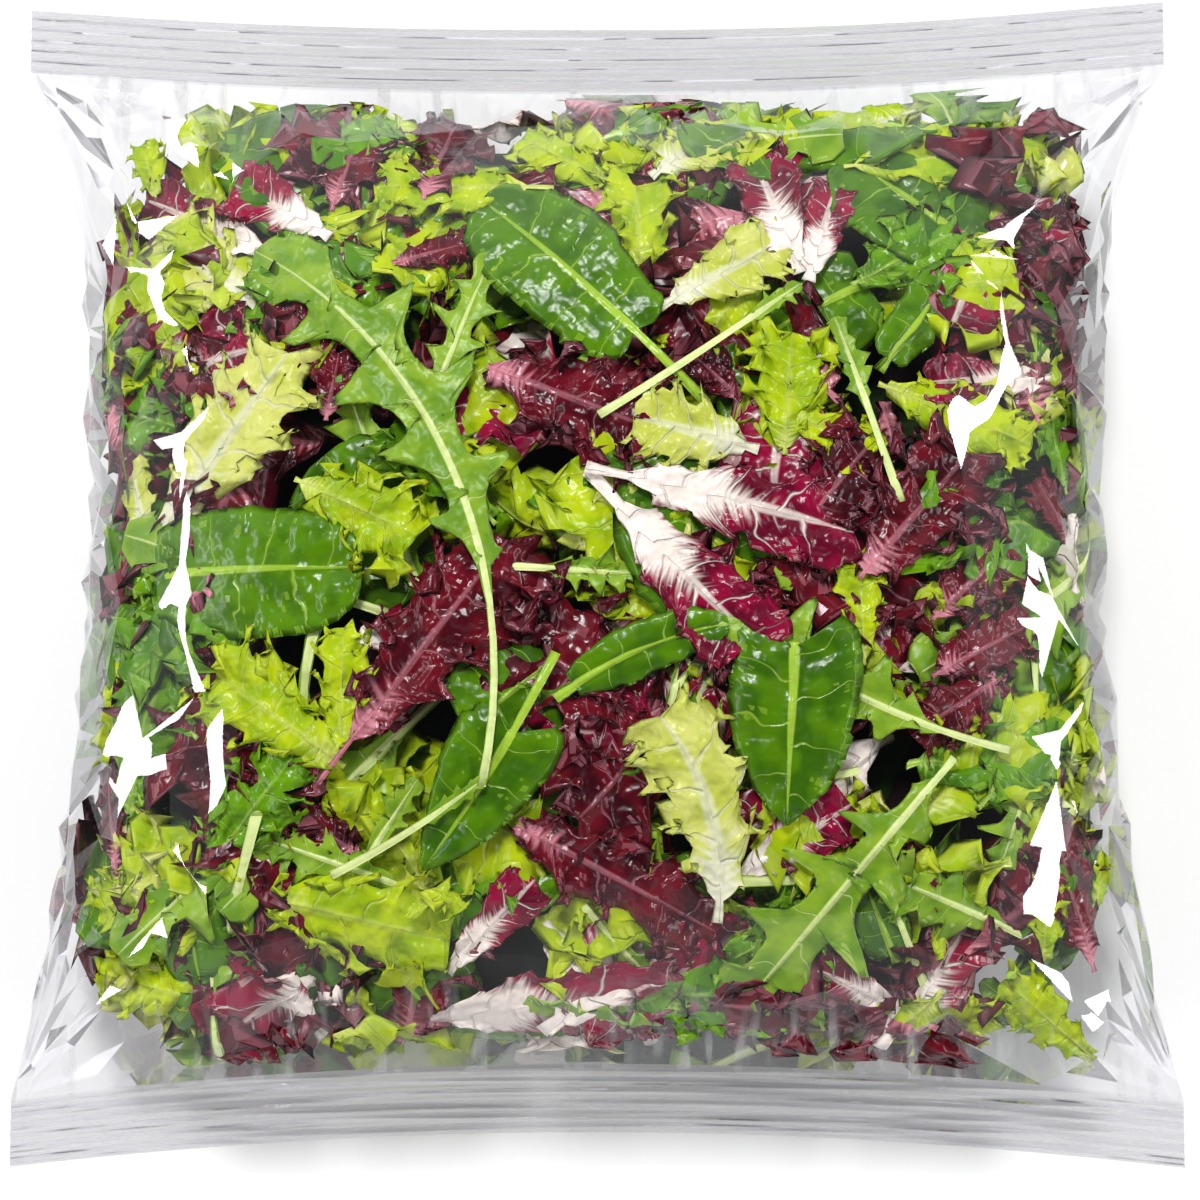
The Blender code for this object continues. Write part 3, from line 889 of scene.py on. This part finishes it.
def leaf_tissue():
    """The colours, gloss and relief of a leaf: blade, midrib, side veins and a fine network."""
    group = bpy.data.node_groups.new("leaf tissue", "ShaderNodeTree")
    for label in ("Blade", "Deep", "Rib", "Edge"):
        group.interface.new_socket(label, in_out="INPUT", socket_type="NodeSocketColor")
    for label in ("Rib width", "Rib strength", "Base reach", "Vein width", "Vein strength", "Edge strength",
                  "Gloss"):
        group.interface.new_socket(label, in_out="INPUT", socket_type="NodeSocketFloat")
    group.interface.new_socket("Color", in_out="OUTPUT", socket_type="NodeSocketColor")
    for label in ("Roughness", "Height"):
        group.interface.new_socket(label, in_out="OUTPUT", socket_type="NodeSocketFloat")
    given = group.nodes.new("NodeGroupInput").outputs
    blade = add_node(group, "ShaderNodeAttribute", attribute_name="blade").outputs["Vector"]
    sheet = add_node(group, "ShaderNodeAttribute", attribute_name="sheet").outputs["Vector"]
    tone = add_node(group, "ShaderNodeAttribute", attribute_name="tone").outputs["Fac"]
    w, t, vein = add_node(group, "ShaderNodeSeparateXYZ", {0: blade}).outputs
    under = add_node(group, "ShaderNodeSeparateXYZ", {0: sheet}).outputs[2]
    cloud = add_node(group, "ShaderNodeTexNoise", {"Vector": sheet, "Scale": 130.0, "Detail": 1.0}, noise_dimensions="2D").outputs[0]
    grain = add_node(group, "ShaderNodeTexNoise", {"Vector": sheet, "Scale": 900.0, "Detail": 0.0}, noise_dimensions="2D").outputs[0]
    wander = calculated(group, "MULTIPLY_ADD", cloud, 0.45, vein)
    gap = calculated(group, "MULTIPLY", calculated(group, "PINGPONG", wander, 0.5), 2.0)
    fade = calculated(group, "SUBTRACT", 1.15, w)
    line = ramp(group, gap, calculated(group, "MULTIPLY", given["Vein width"], fade), 0.0)
    line = calculated(group, "MULTIPLY", line, given["Vein strength"])
    lines = calculated(group, "MULTIPLY", line, ramp(group, t, 1.0, 0.75))
    spread = calculated(group, "MULTIPLY", given["Rib width"], calculated(group, "SUBTRACT", 1.2, t))
    rib = ramp(group, w, calculated(group, "MULTIPLY_ADD", cloud, 0.04, spread), calculated(group, "MULTIPLY", spread, 0.3))
    feathers = add_node(group, "ShaderNodeCombineXYZ", {0: calculated(group, "MULTIPLY", vein, 9.0), 1: w})
    feathers = {"Vector": feathers.outputs[0], "Scale": 1.0, "Detail": 1.0}
    feathers = add_node(group, "ShaderNodeTexNoise", feathers, noise_dimensions="2D").outputs[0]
    low = calculated(group, "MULTIPLY_ADD", feathers, 0.45, t)
    low = calculated(group, "MULTIPLY_ADD", w, 0.42, low)
    low = calculated(group, "MULTIPLY_ADD", line, -0.25, low)
    low = calculated(group, "SUBTRACT", low, 0.2)
    rib = calculated(group, "MULTIPLY", rib, calculated(group, "MULTIPLY_ADD", t, -0.45, 1.0))
    rib = calculated(group, "MULTIPLY", rib, given["Rib strength"])
    base = ramp(group, low, calculated(group, "ADD", given["Base reach"], 0.22), calculated(group, "SUBTRACT", given["Base reach"], 0.05))
    pale = calculated(group, "MAXIMUM", calculated(group, "MAXIMUM", rib, base), lines, use_clamp=True)
    patch = calculated(group, "MULTIPLY_ADD", calculated(group, "SUBTRACT", tone, 0.5), 0.7, ramp(group, cloud, 0.3, 0.7), use_clamp=True)
    colour = mixed(group, patch, given["Blade"], given["Deep"])
    edge = calculated(group, "MULTIPLY", ramp(group, w, 0.55, 1.0), given["Edge strength"])
    colour = mixed(group, edge, colour, given["Edge"])
    colour = mixed(group, calculated(group, "MULTIPLY", under, 0.25), colour, given["Rib"])
    colour = mixed(group, pale, colour, given["Rib"])
    rough = calculated(group, "MULTIPLY_ADD", cloud, 0.16, given["Gloss"])
    rough = calculated(group, "MULTIPLY_ADD", grain, 0.1, rough)
    wrinkles = {"Vector": sheet, "Scale": 150.0, "Detail": 2.0}
    wrinkles = add_node(group, "ShaderNodeTexNoise", wrinkles, noise_dimensions="2D").outputs[0]
    height = calculated(group, "MULTIPLY", wrinkles, 3.8)
    height = calculated(group, "MULTIPLY_ADD", line, -1.2, height)
    add_node(group, "NodeGroupOutput", {0: colour, 1: rough, 2: height})
    return group


tissue = leaf_tissue()


def leaf_material(name, values, relief=0.8, light_through=0.0):
    """Leaf tissue under a thin wax: glossy, and a little light comes through it."""
    material = new_material(name)
    tree = material.node_tree
    made = add_node(tree, "ShaderNodeGroup", node_tree=tissue)
    for label, value in values.items():
        made.inputs[label].default_value = value
    bump = {"Height": made.outputs["Height"], "Strength": relief, "Distance": 0.0008}
    bump = add_node(tree, "ShaderNodeBump", bump).outputs[0]
    look = {"Base Color": made.outputs["Color"], "Roughness": made.outputs["Roughness"], "Normal": bump}
    shader = add_node(tree, "ShaderNodeBsdfPrincipled", look)
    shader.inputs["Specular IOR Level"].default_value = 0.28
    if light_through:
        lit = add_node(tree, "ShaderNodeBsdfTranslucent", {"Color": made.outputs["Color"], "Normal": bump})
        shader = add_node(tree, "ShaderNodeMixShader", {0: light_through, 1: shader.outputs[0], 2: lit.outputs[0]})
    add_node(tree, "ShaderNodeOutputMaterial", {"Surface": shader.outputs[0]})
    return material


def oval(t, random):
    """A smooth oval blade, widest near its middle."""
    return t**0.45 * (1 - t) ** 0.5 / 0.52 * jagged(t, 5, random, 0.96, 1.0)


def heart(t, random):
    """A blade with round shoulders and a drawn-out tip."""
    return t**0.30 * (1 - t) ** 0.95 / 0.50 * jagged(t, 5, random, 0.96, 1.0)


# Each row: stalk end x, y, tip x, y, width, stalk share, depth under the film at the two ends,
# bend and roll, in millimetres and degrees. A bend is to the right of the leaf's heading.
SPINACH_ROWS = (
    (27, 35, -26, 86, 33, 0.32, 4.5, 4.0, 6, 0),
    (-104, -3, -53, -3, 35, 0.02, 4.0, 4.5, 0, 0),
    (-101, 5, -110, -10, 12, 0.02, 6.0, 7.0, 0, 0),
    (-8, -34, 32, -17, 14, 0.12, 5.5, 4.5, -30, 20),
    (-97, -73, -92, -99, 20, 0.05, 8.0, 7.0, 0, 0),
    (92, 74, 60, 99, 36, 0.05, 6.0, 7.0, 0, 0),
    (105, 48, 105, 80, 14, 0.02, 7.0, 8.0, 0, 0),
    (68, 43, 90, 72, 15, 0.10, 6.5, 6.0, -15, 30),
    (-73, 93, -94, 104, 12, 0.1, 8.0, 9.0, 0, 0),
    (0, -110, -36, -107, 12, 0.1, 9.0, 9.0, 0, 0),
    (71, -94, 63, -75, 14, 0.1, 10.0, 10.0, 0, 0),
)
HEART_ROWS = (
    (47, -21, 45, -63, 35, 0.02, 2.6, 3.0, 0, 5),
    (-8, -23, -39, -73, 25, 0.35, 6.0, 4.0, -12, 0),
)
spinach_habit = dict(outline=oval, rib=2.5, rib_height=1.7, lean=(-0.5, 0.85), skin=0.5, veins=4, quilt=1.7,
                     crinkle=0.5, ruffle=0.02, waves=3, cup=-0.08, sway=0.04, warp=0.05)
heart_habit = dict(spinach_habit, outline=heart, lean=(-0.9, 0.7), cup=-0.16)
spinach_green = leaf_material("spinach_leaf_green", {
    "Blade": (0.080, 0.205, 0.001, 1), "Deep": (0.034, 0.112, 0.001, 1), "Rib": (0.38, 0.58, 0.05, 1),
    "Edge": (0.13, 0.30, 0.010, 1), "Rib width": 0.02, "Rib strength": 0.9, "Base reach": -0.3,
    "Vein width": 0.07, "Vein strength": 0.5, "Edge strength": 0.3, "Gloss": 0.10}, relief=0.38)
spinach_groups = ((heart_habit, HEART_ROWS), (spinach_habit, SPINACH_ROWS))
spinach = leaf_heap("spinach_leaves", spinach_groups, spinach_green, "green_leaf", 100,
                    (40, 29), 300, close=2.4, stalk=0.15)


# Wild rocket: long lobed leaves on a slender stalk, with a pale cream midrib that runs to the
# tip and a matt mid-green blade cut nearly to the rib between its lobes.
def rocket_lobes(t, random):
    """Side lobes that shorten towards the stalk, below a long end lobe."""
    places = (0, 0.05, 0.2, 0.45, 0.68, 0.78, 0.86, 0.94, 0.98, 1)
    widths = (0.12, 0.42, 0.72, 1.0, 0.92, 0.60, 0.56, 0.42, 0.24, 0)
    return np.interp(t, places, widths)


ROCKET_ROWS = (
    (-25, -54, -80, 74, 40, 0.34, 1.6, 3.4, 72, 0),
    (-60, -74, -24, -52, 7, 0.6, 4.0, 1.6, 12, 0),
    (-38, 33, -23, 72, 17, 0.02, 5.5, 4.5, 0, 0),
    (97, -45, 32, -13, 32, 0.28, 4.0, 6.0, -30, 0),
    (84, -47, 30, -110, 40, 0.12, 5.5, 4.0, 0, 0),
    (104, -89, 68, -74, 30, 0.25, 8.0, 7.0, 0, 0),
    (105, -44, 95, -72, 18, 0.1, 9.0, 8.0, 0, 0),
    (-19, -3, 14, -5, 16, 0.3, 8.0, 8.0, 0, 0),
    (2, 32, 49, 64, 9, 0.75, 4.0, 4.5, 6, 0),
    (72, 12, 57, 56, 12, 0.55, 3.4, 5.5, 0, 0),
    (-31, -81, -80, -64, 21, 0.3, 8.0, 9.0, 0, 0),
    (-80, -63, -91, -75, 14, 0.1, 9.0, 10.0, 0, 0),
    (-2, -81, 25, -111, 14, 0.2, 10.0, 8.0, 0, 0),
    (119, -119, 91, -98, 12, 0.1, 9.0, 10.0, 0, 0),
    (32, 90, 51, 106, 13, 0.1, 10.0, 8.0, 0, 0),
    (-54, -73, -40, -52, 12, 0.2, 10.0, 10.0, 0, 0),
    (104, -38, 104, 0, 8, 0.3, 8.0, 10.0, 0, 0),
    (79, -103, 70, -81, 6, 0.8, 9.0, 8.0, 0, 0),
    (6, 36, -4, 54, 8, 0.1, 7.0, 7.0, 0, 0),
    (62, -50, 33, -57, 14, 0.2, 9.0, 9.0, 0, 0),
)
rocket_habit = dict(outline=rocket_lobes, rib=2.1, rib_height=1.9, lean=(0.2, 0.7), skin=0.4, veins=5,
                    lobes=0.93, gap=0.78, lobe_end=0.86, bite=0.08, quilt=0.7, crinkle=0.35, ruffle=0.05, waves=5, cup=0.10, sway=0.01, warp=0.05, close=1.05)
rocket_green = leaf_material("rocket_leaf_green", {
    "Blade": (0.24, 0.39, 0.022, 1), "Deep": (0.125, 0.265, 0.008, 1), "Rib": (0.66, 0.76, 0.30, 1),
    "Edge": (0.25, 0.45, 0.05, 1), "Rib width": 0.015, "Rib strength": 1.0, "Base reach": -0.3,
    "Vein width": 0.045, "Vein strength": 0.5, "Edge strength": 0.2, "Gloss": 0.22}, relief=0.5)
rocket = leaf_heap("rocket_leaves", ((rocket_habit, ROCKET_ROWS),), rocket_green, "green_leaf", 200,
                   (56, 28), 250, close=2.0, stalk=0.25)


# Radicchio: torn pieces of crisp crimson leaf, whose thick white rib fans out into white veins
# as it rises through the blade.
def torn(t, random):
    """A fan-shaped piece, torn off across its top."""
    return t**0.6 * (1 - t) ** 0.2 / 0.72 * jagged(t, 7, random, 0.85, 1.05)


RADICCHIO_ROWS = (
    (-1, 20, 61, 5, 32, 0.16, 3.0, 3.4, 0, -12),
    (-1, 19, 38, -22, 30, 0.20, 3.8, 4.2, 0, 10),
    (-49, -110, 21, -104, 28, 0.18, 4.5, 5.0, -18, 0),
    (-62, 77, -86, 92, 24, 0.08, 5.0, 6.0, 0, 0),
    (-76, 73, -108, 90, 22, 0.08, 7.0, 8.0, 0, 0),
    (49, 67, 38, 99, 26, 0.08, 5.0, 6.0, 0, 0),
    (51, 65, 58, 90, 18, 0.08, 7.0, 7.0, 0, 0),
    (110, 44, 79, 41, 18, 0.08, 7.0, 6.0, 0, 0),
    (72, -105, 51, -95, 16, 0.08, 7.0, 8.0, 0, 0),
    (-64, -112, -82, -88, 20, 0.08, 8.0, 9.0, 0, 0),
    (33, -75, 60, -58, 24, 0.08, 9.0, 9.0, 0, 0),
    (-34, -96, -13, -75, 16, 0.08, 8.0, 8.0, 0, 0),
)
radicchio_habit = dict(outline=torn, rib=3.4, rib_height=2.4, lean=(0.6, 1.1), skin=0.55, veins=5, quilt=1.2,
                       bite=0.06, crinkle=0.6, ruffle=0.14, waves=3, cup=0.45, sway=0.03, warp=0.07, close=0.8)
radicchio_red = leaf_material("radicchio_crimson", {
    "Blade": (0.27, 0.002, 0.035, 1), "Deep": (0.11, 0.001, 0.014, 1), "Rib": (0.88, 0.78, 0.70, 1),
    "Edge": (0.17, 0.002, 0.018, 1), "Rib width": 0.10, "Rib strength": 0.95, "Base reach": 0.48,
    "Vein width": 0.13, "Vein strength": 0.8, "Edge strength": 0.4, "Gloss": 0.10})
radicchio = leaf_heap("radicchio_leaves", ((radicchio_habit, RADICCHIO_ROWS),), radicchio_red, "red_leaf", 300,
                      (38, 32), 290, close=1.8, stalk=0.1)


# Red lollo and red oak leaf: frilled, glossy leaves, wine red to nearly black at their curled
# and toothed edges, with a pink rib.
def frilled(t, random):
    """A fan, widest towards its blunt end."""
    return 1.15 * t**0.45 * (1 - t) ** 0.22 / 0.66 * jagged(t, 6, random, 0.9, 1.0)


RED_ROWS = (
    (-63, -53, -19, 3, 38, 0.18, 5.0, 6.0, 0, 0),
    (-62, 84, -55, 110, 30, 0.05, 4.5, 5.5, 0, 0),
    (-40, 86, -33, 109, 32, 0.05, 4.5, 5.5, 0, 0),
    (-24, 44, 14, 29, 40, 0.02, 5.5, 6.5, 0, 0),
    (-60, 43, -74, 64, 24, 0.05, 8.0, 8.0, 0, 0),
    (-62, 32, -59, 48, 18, 0.05, 9.0, 8.0, 0, 0),
    (-84, 32, -102, 46, 22, 0.05, 9.0, 8.0, 0, 0),
    (94, 82, 119, 83, 22, 0.05, 8.0, 7.0, 0, 0),
    (47, 4, 66, 27, 32, 0.05, 5.6, 5.0, 0, 0),
    (62, -6, 88, 24, 40, 0.05, 4.6, 4.4, 0, 0),
    (79, -15, 99, 4, 30, 0.05, 6.0, 5.5, 0, 0),
    (54, -17, 45, 2, 26, 0.05, 9.0, 9.0, 0, 0),
    (98, -26, 74, -42, 24, 0.05, 9.0, 8.0, 0, 0),
    (79, -28, 103, -15, 22, 0.05, 7.5, 6.5, 0, 0),
    (21, -45, -6, -38, 24, 0.05, 9.0, 8.0, 0, 0),
    (-22, -60, 29, -87, 30, 0.05, 8.0, 7.0, 0, 0),
    (-113, -73, -117, -47, 14, 0.05, 8.0, 8.0, 0, 0),
    (119, -96, 107, -59, 22, 0.05, 9.0, 8.0, 0, 0),
    (116, 4, 105, 20, 14, 0.05, 8.0, 8.0, 0, 0),
    (-53, -70, -69, -59, 16, 0.05, 10.0, 9.0, 0, 0),
    (58, -17, 42, -3, 20, 0.05, 10.0, 9.0, 0, 0),
    (35, 36, 24, 47, 14, 0.05, 9.0, 9.0, 0, 0),
    (80, -73, 71, -66, 10, 0.05, 10.0, 10.0, 0, 0),
    (-47, 70, -29, 75, 12, 0.05, 8.0, 8.0, 0, 0),
)
red_habit = dict(outline=frilled, rib=1.4, rib_height=1.4, lean=(0.4, 0.8), skin=0.35, veins=4, quilt=1.6,
                 lobes=0.34, gap=0.5, trim=1.3, bite=0.16, crinkle=0.9, ruffle=0.20, waves=5, cup=0.1, sway=0.03, warp=0.08, close=0.62)
red_green = leaf_material("red_lollo_leaf", {
    "Blade": (0.135, 0.004, 0.012, 1), "Deep": (0.035, 0.001, 0.004, 1), "Rib": (0.60, 0.22, 0.27, 1),
    "Edge": (0.040, 0.002, 0.005, 1), "Rib width": 0.03, "Rib strength": 0.5, "Base reach": 0.14,
    "Vein width": 0.07, "Vein strength": 0.4, "Edge strength": 0.5, "Gloss": 0.08})
red_lollo = leaf_heap("red_lollo_leaves", ((red_habit, RED_ROWS),), red_green, "red_leaf", 400,
                      (40, 34), 520, close=1.5, stalk=0.05)


# Lime lollo and frisee: thin, bright yellow-green frilled leaves, paler towards the rib.
LIME_ROWS = (
    (-106, 90, -110, 106, 14, 0.05, 7.0, 7.0, 0, 0),
    (-113, 71, -115, 90, 12, 0.05, 8.0, 8.0, 0, 0),
    (-9, 89, -52, 90, 20, 0.15, 6.0, 5.0, 0, 0),
    (5, 90, -17, 104, 20, 0.05, 8.0, 7.0, 0, 0),
    (12, 64, 10, 96, 28, 0.05, 8.0, 6.0, 0, 0),
    (45, 23, 47, 52, 30, 0.05, 7.0, 5.5, 0, 0),
    (45, 34, 65, 23, 20, 0.05, 7.0, 6.5, 0, 0),
    (-69, 18, -40, 4, 32, 0.05, 7.0, 6.0, 0, 0),
    (-57, -49, -89, -26, 32, 0.05, 5.0, 5.0, 0, 0),
    (-58, -47, -57, -17, 18, 0.05, 7.0, 6.0, 0, 0),
    (67, 40, 104, 27, 22, 0.05, 6.0, 5.5, 0, 0),
    (60, 95, 110, 103, 27, 0.05, 5.0, 5.0, 0, 0),
    (-80, -78, -33, -89, 36, 0.05, 6.0, 5.0, 0, 0),
    (56, -114, 94, -107, 18, 0.05, 8.0, 7.0, 0, 0),
    (120, -118, 96, -98, 18, 0.05, 8.0, 7.0, 0, 0),
    (105, -95, 107, -73, 14, 0.05, 8.0, 8.0, 0, 0),
    (-99, -76, -121, -82, 24, 0.05, 7.0, 7.0, 0, 0),
    (-97, -66, -109, -89, 26, 0.05, 8.0, 7.0, 0, 0),
    (-83, -105, -118, -96, 22, 0.05, 8.0, 7.0, 0, 0),
    (119, -81, 126, -68, 10, 0.05, 8.0, 7.0, 0, 0),
    (63, -26, 62, 0, 14, 0.05, 6.5, 6.5, 0, 0),
    (-55, -98, -55, -112, 12, 0.05, 9.0, 8.0, 0, 0),
    (-95, -26, -112, -11, 12, 0.05, 7.0, 7.0, 0, 0),
)
lime_habit = dict(outline=frilled, rib=1.4, rib_height=1.3, lean=(0.4, 0.8), skin=0.35, veins=4, quilt=1.6,
                  lobes=0.36, gap=0.5, trim=1.3, bite=0.17, crinkle=0.8, ruffle=0.20, waves=5, cup=0.1, sway=0.03, warp=0.08, close=0.62)
lime_green = leaf_material("lime_frill_leaf", {
    "Blade": (0.62, 0.76, 0.008, 1), "Deep": (0.38, 0.57, 0.003, 1), "Rib": (0.76, 0.84, 0.20, 1),
    # The lighter, yellower Edge colour is partly the leaves' own paler margins and partly painted highlight for
    # light caught on their curled teeth.
    "Edge": (0.72, 0.80, 0.040, 1), "Rib width": 0.05, "Rib strength": 0.45, "Base reach": 0.10,
    "Vein width": 0.10, "Vein strength": 0.35, "Edge strength": 0.4, "Gloss": 0.14}, light_through=0.3)
lime = leaf_heap("lime_leaves", ((lime_habit, LIME_ROWS),), lime_green, "lime_leaf", 500,
                 (38, 32), 540, close=1.5, stalk=0.05)


# Blanched endive: the pale yellow hearts of the plant, cut up, with thick white ribs.
PALE_ROWS = (
    (-78, 59, -104, 81, 30, 0.1, 6.0, 5.0, 0, 0),
    (-104, 4, -71, 48, 32, 0.1, 6.0, 5.0, 0, 0),
    (-106, 5, -111, 25, 14, 0.1, 7.0, 7.0, 0, 0),
    (14, 92, 32, 107, 24, 0.1, 5.5, 5.5, 0, 0),
    (16, 58, 45, 75, 22, 0.1, 5.5, 5.0, 0, 0),
    (39, 24, 10, 32, 26, 0.1, 6.0, 5.5, 0, 0),
    (29, -85, 16, -38, 30, 0.1, 3.6, 4.2, 48, 0),
)
pale_habit = dict(outline=frilled, rib=2.6, rib_height=2.0, lean=(0.5, 0.9), skin=0.4, veins=4, quilt=1.5,
                  lobes=0.34, gap=0.5, trim=1.3, bite=0.17, crinkle=0.6, ruffle=0.17, waves=4, cup=0.2, sway=0.03, warp=0.07, close=0.65)
pale_yellow = leaf_material("pale_endive_leaf", {
    "Blade": (0.80, 0.83, 0.22, 1), "Deep": (0.64, 0.71, 0.09, 1), "Rib": (0.92, 0.92, 0.70, 1),
    "Edge": (0.62, 0.70, 0.10, 1), "Rib width": 0.12, "Rib strength": 0.9, "Base reach": 0.25,
    "Vein width": 0.14, "Vein strength": 0.5, "Edge strength": 0.6, "Gloss": 0.14}, light_through=0.3)
pale = leaf_heap("pale_endive_leaves", ((pale_habit, PALE_ROWS),), pale_yellow, "pale_leaf", 600,
                 (36, 28), 170, close=1.5, stalk=0.1)


# Green frisee and mizuna: mid to dark green leaves with fine curled teeth.
GREEN_ROWS = (
    (61, 64, 89, 80, 30, 0.05, 6.5, 6.0, 0, 0),
    (-22, 7, -45, 32, 24, 0.05, 8.0, 7.0, 0, 0),
    (93, -5, 91, 23, 18, 0.05, 9.0, 9.0, 0, 0),
    (114, 17, 108, 41, 18, 0.05, 8.0, 8.0, 0, 0),
    (-92, -42, -109, -24, 18, 0.05, 8.0, 8.0, 0, 0),
    (-91, -74, -69, -47, 26, 0.05, 7.0, 6.5, 0, 0),
    (28, -96, 52, -83, 18, 0.05, 8.0, 8.0, 0, 0),
    (-112, 34, -100, 46, 12, 0.05, 9.0, 9.0, 0, 0),
)
green_habit = dict(outline=frilled, rib=1.3, rib_height=1.3, lean=(0.4, 0.8), skin=0.35, veins=4, quilt=1.6,
                   lobes=0.36, gap=0.5, trim=1.3, bite=0.17, crinkle=0.8, ruffle=0.20, waves=6, cup=0.08, sway=0.03, warp=0.08, close=0.62)
frill_green = leaf_material("green_frill_leaf", {
    "Blade": (0.125, 0.30, 0.001, 1), "Deep": (0.055, 0.175, 0.001, 1), "Rib": (0.42, 0.60, 0.11, 1),
    "Edge": (0.20, 0.38, 0.006, 1), "Rib width": 0.03, "Rib strength": 0.5, "Base reach": 0.0,
    "Vein width": 0.08, "Vein strength": 0.35, "Edge strength": 0.3, "Gloss": 0.12})
green = leaf_heap("green_frill_leaves", ((green_habit, GREEN_ROWS),), frill_green, "green_leaf", 700,
                  (38, 32), 540, close=1.5, stalk=0.05)
bpy.data.objects.remove(heap_outside)


# The stage: a pale floor, a strip softbox at each side, a softbox over the top end, and a pale
# room around them. The camera looks down on the bag.
FLOOR_SIZE = 6.0


def pale_floor():
    mesh = bpy.data.meshes.new("floor")
    h = FLOOR_SIZE / 2
    mesh.from_pydata([(-h, -h, 0), (h, -h, 0), (h, h, 0), (-h, h, 0)], [], [(0, 1, 2, 3)])
    floor = bpy.data.objects.new("floor", mesh)
    bpy.context.scene.collection.objects.link(floor)
    material = new_material("floor_white")
    tree = material.node_tree
    place = add_node(tree, "ShaderNodeTexCoord").outputs["Object"]
    grain = add_node(tree, "ShaderNodeTexNoise", {"Vector": place, "Scale": 300.0}).outputs[0]
    colour = mixed(tree, grain, (0.85, 0.85, 0.853, 1), (0.86, 0.86, 0.863, 1))
    shader = add_node(tree, "ShaderNodeBsdfPrincipled", {"Base Color": colour, "Roughness": 0.9})
    shader.inputs["Specular IOR Level"].default_value = 0.1
    add_node(tree, "ShaderNodeOutputMaterial", {"Surface": shader.outputs[0]})
    mesh.materials.append(material)
    return floor


def facing(place, target):
    """The matrix of something at a place that looks at a target, with its top towards +y."""
    back = (Vector(place) - Vector(target)).normalized()
    right = Vector((0, 1, 0)).cross(back).normalized()
    turned = Matrix((right, back.cross(right), back)).transposed().to_4x4()
    return Matrix.Translation(place) @ turned


def softbox(name, place, size, radiance):
    """A rectangular light that faces the middle of the bag."""
    light = bpy.data.lights.new(name, "AREA")
    light.shape = "RECTANGLE"
    light.size, light.size_y = size
    light.energy = radiance * math.pi * size[0] * size[1]
    box = bpy.data.objects.new(name, light)
    bpy.context.scene.collection.objects.link(box)
    box.matrix_world = facing(place, (0, 0, 0.03))
    return box


floor = pale_floor()
side = (1.1 * math.sin(math.radians(54)), 1.1 * math.cos(math.radians(54)))
softbox("left_strip", (-side[0], 0, side[1]), (0.07, 0.95), 22.0)
softbox("right_strip", (side[0], 0, side[1]), (0.07, 0.95), 22.0)
overhead = softbox("overhead", (-0.15, 0.8, 1.4), (0.38, 0.38), 45.0)
apart = bpy.data.collections.new("away_from_overhead")
apart.objects.link(bag_film)
apart.objects.link(fin_seal)
overhead.light_linking.receiver_collection = apart
for member in apart.collection_objects:
    member.light_linking.link_state = "EXCLUDE"

world = bpy.data.worlds.new("pale_room")
world.use_nodes = True
world.node_tree.nodes.clear()
sky = world.node_tree
direction = add_node(sky, "ShaderNodeTexCoord").outputs["Generated"]
height = add_node(sky, "ShaderNodeSeparateXYZ", {0: direction}).outputs[2]
low = mixed(sky, ramp(sky, height, 0.06, 0.22), (0.10, 0.10, 0.11, 1), (0.76, 0.76, 0.78, 1))
brightness = mixed(sky, ramp(sky, height, 0.45, 0.85), low, (0.04, 0.04, 0.045, 1))
background = add_node(sky, "ShaderNodeBackground", {"Color": brightness, "Strength": 1.0})
add_node(sky, "ShaderNodeOutputWorld", {"Surface": background.outputs[0]})
bpy.context.scene.world = world
bpy.context.scene.view_settings.view_transform = "Standard"

camera_data = bpy.data.cameras.new("camera")
camera_data.lens = 109.2
camera_data.sensor_width = 36.0
camera = bpy.data.objects.new("camera", camera_data)
bpy.context.scene.collection.objects.link(camera)
camera.matrix_world = facing((0.021, -0.110, 0.90), (0.0014, -0.0067, 0.030))
bpy.context.scene.camera = camera
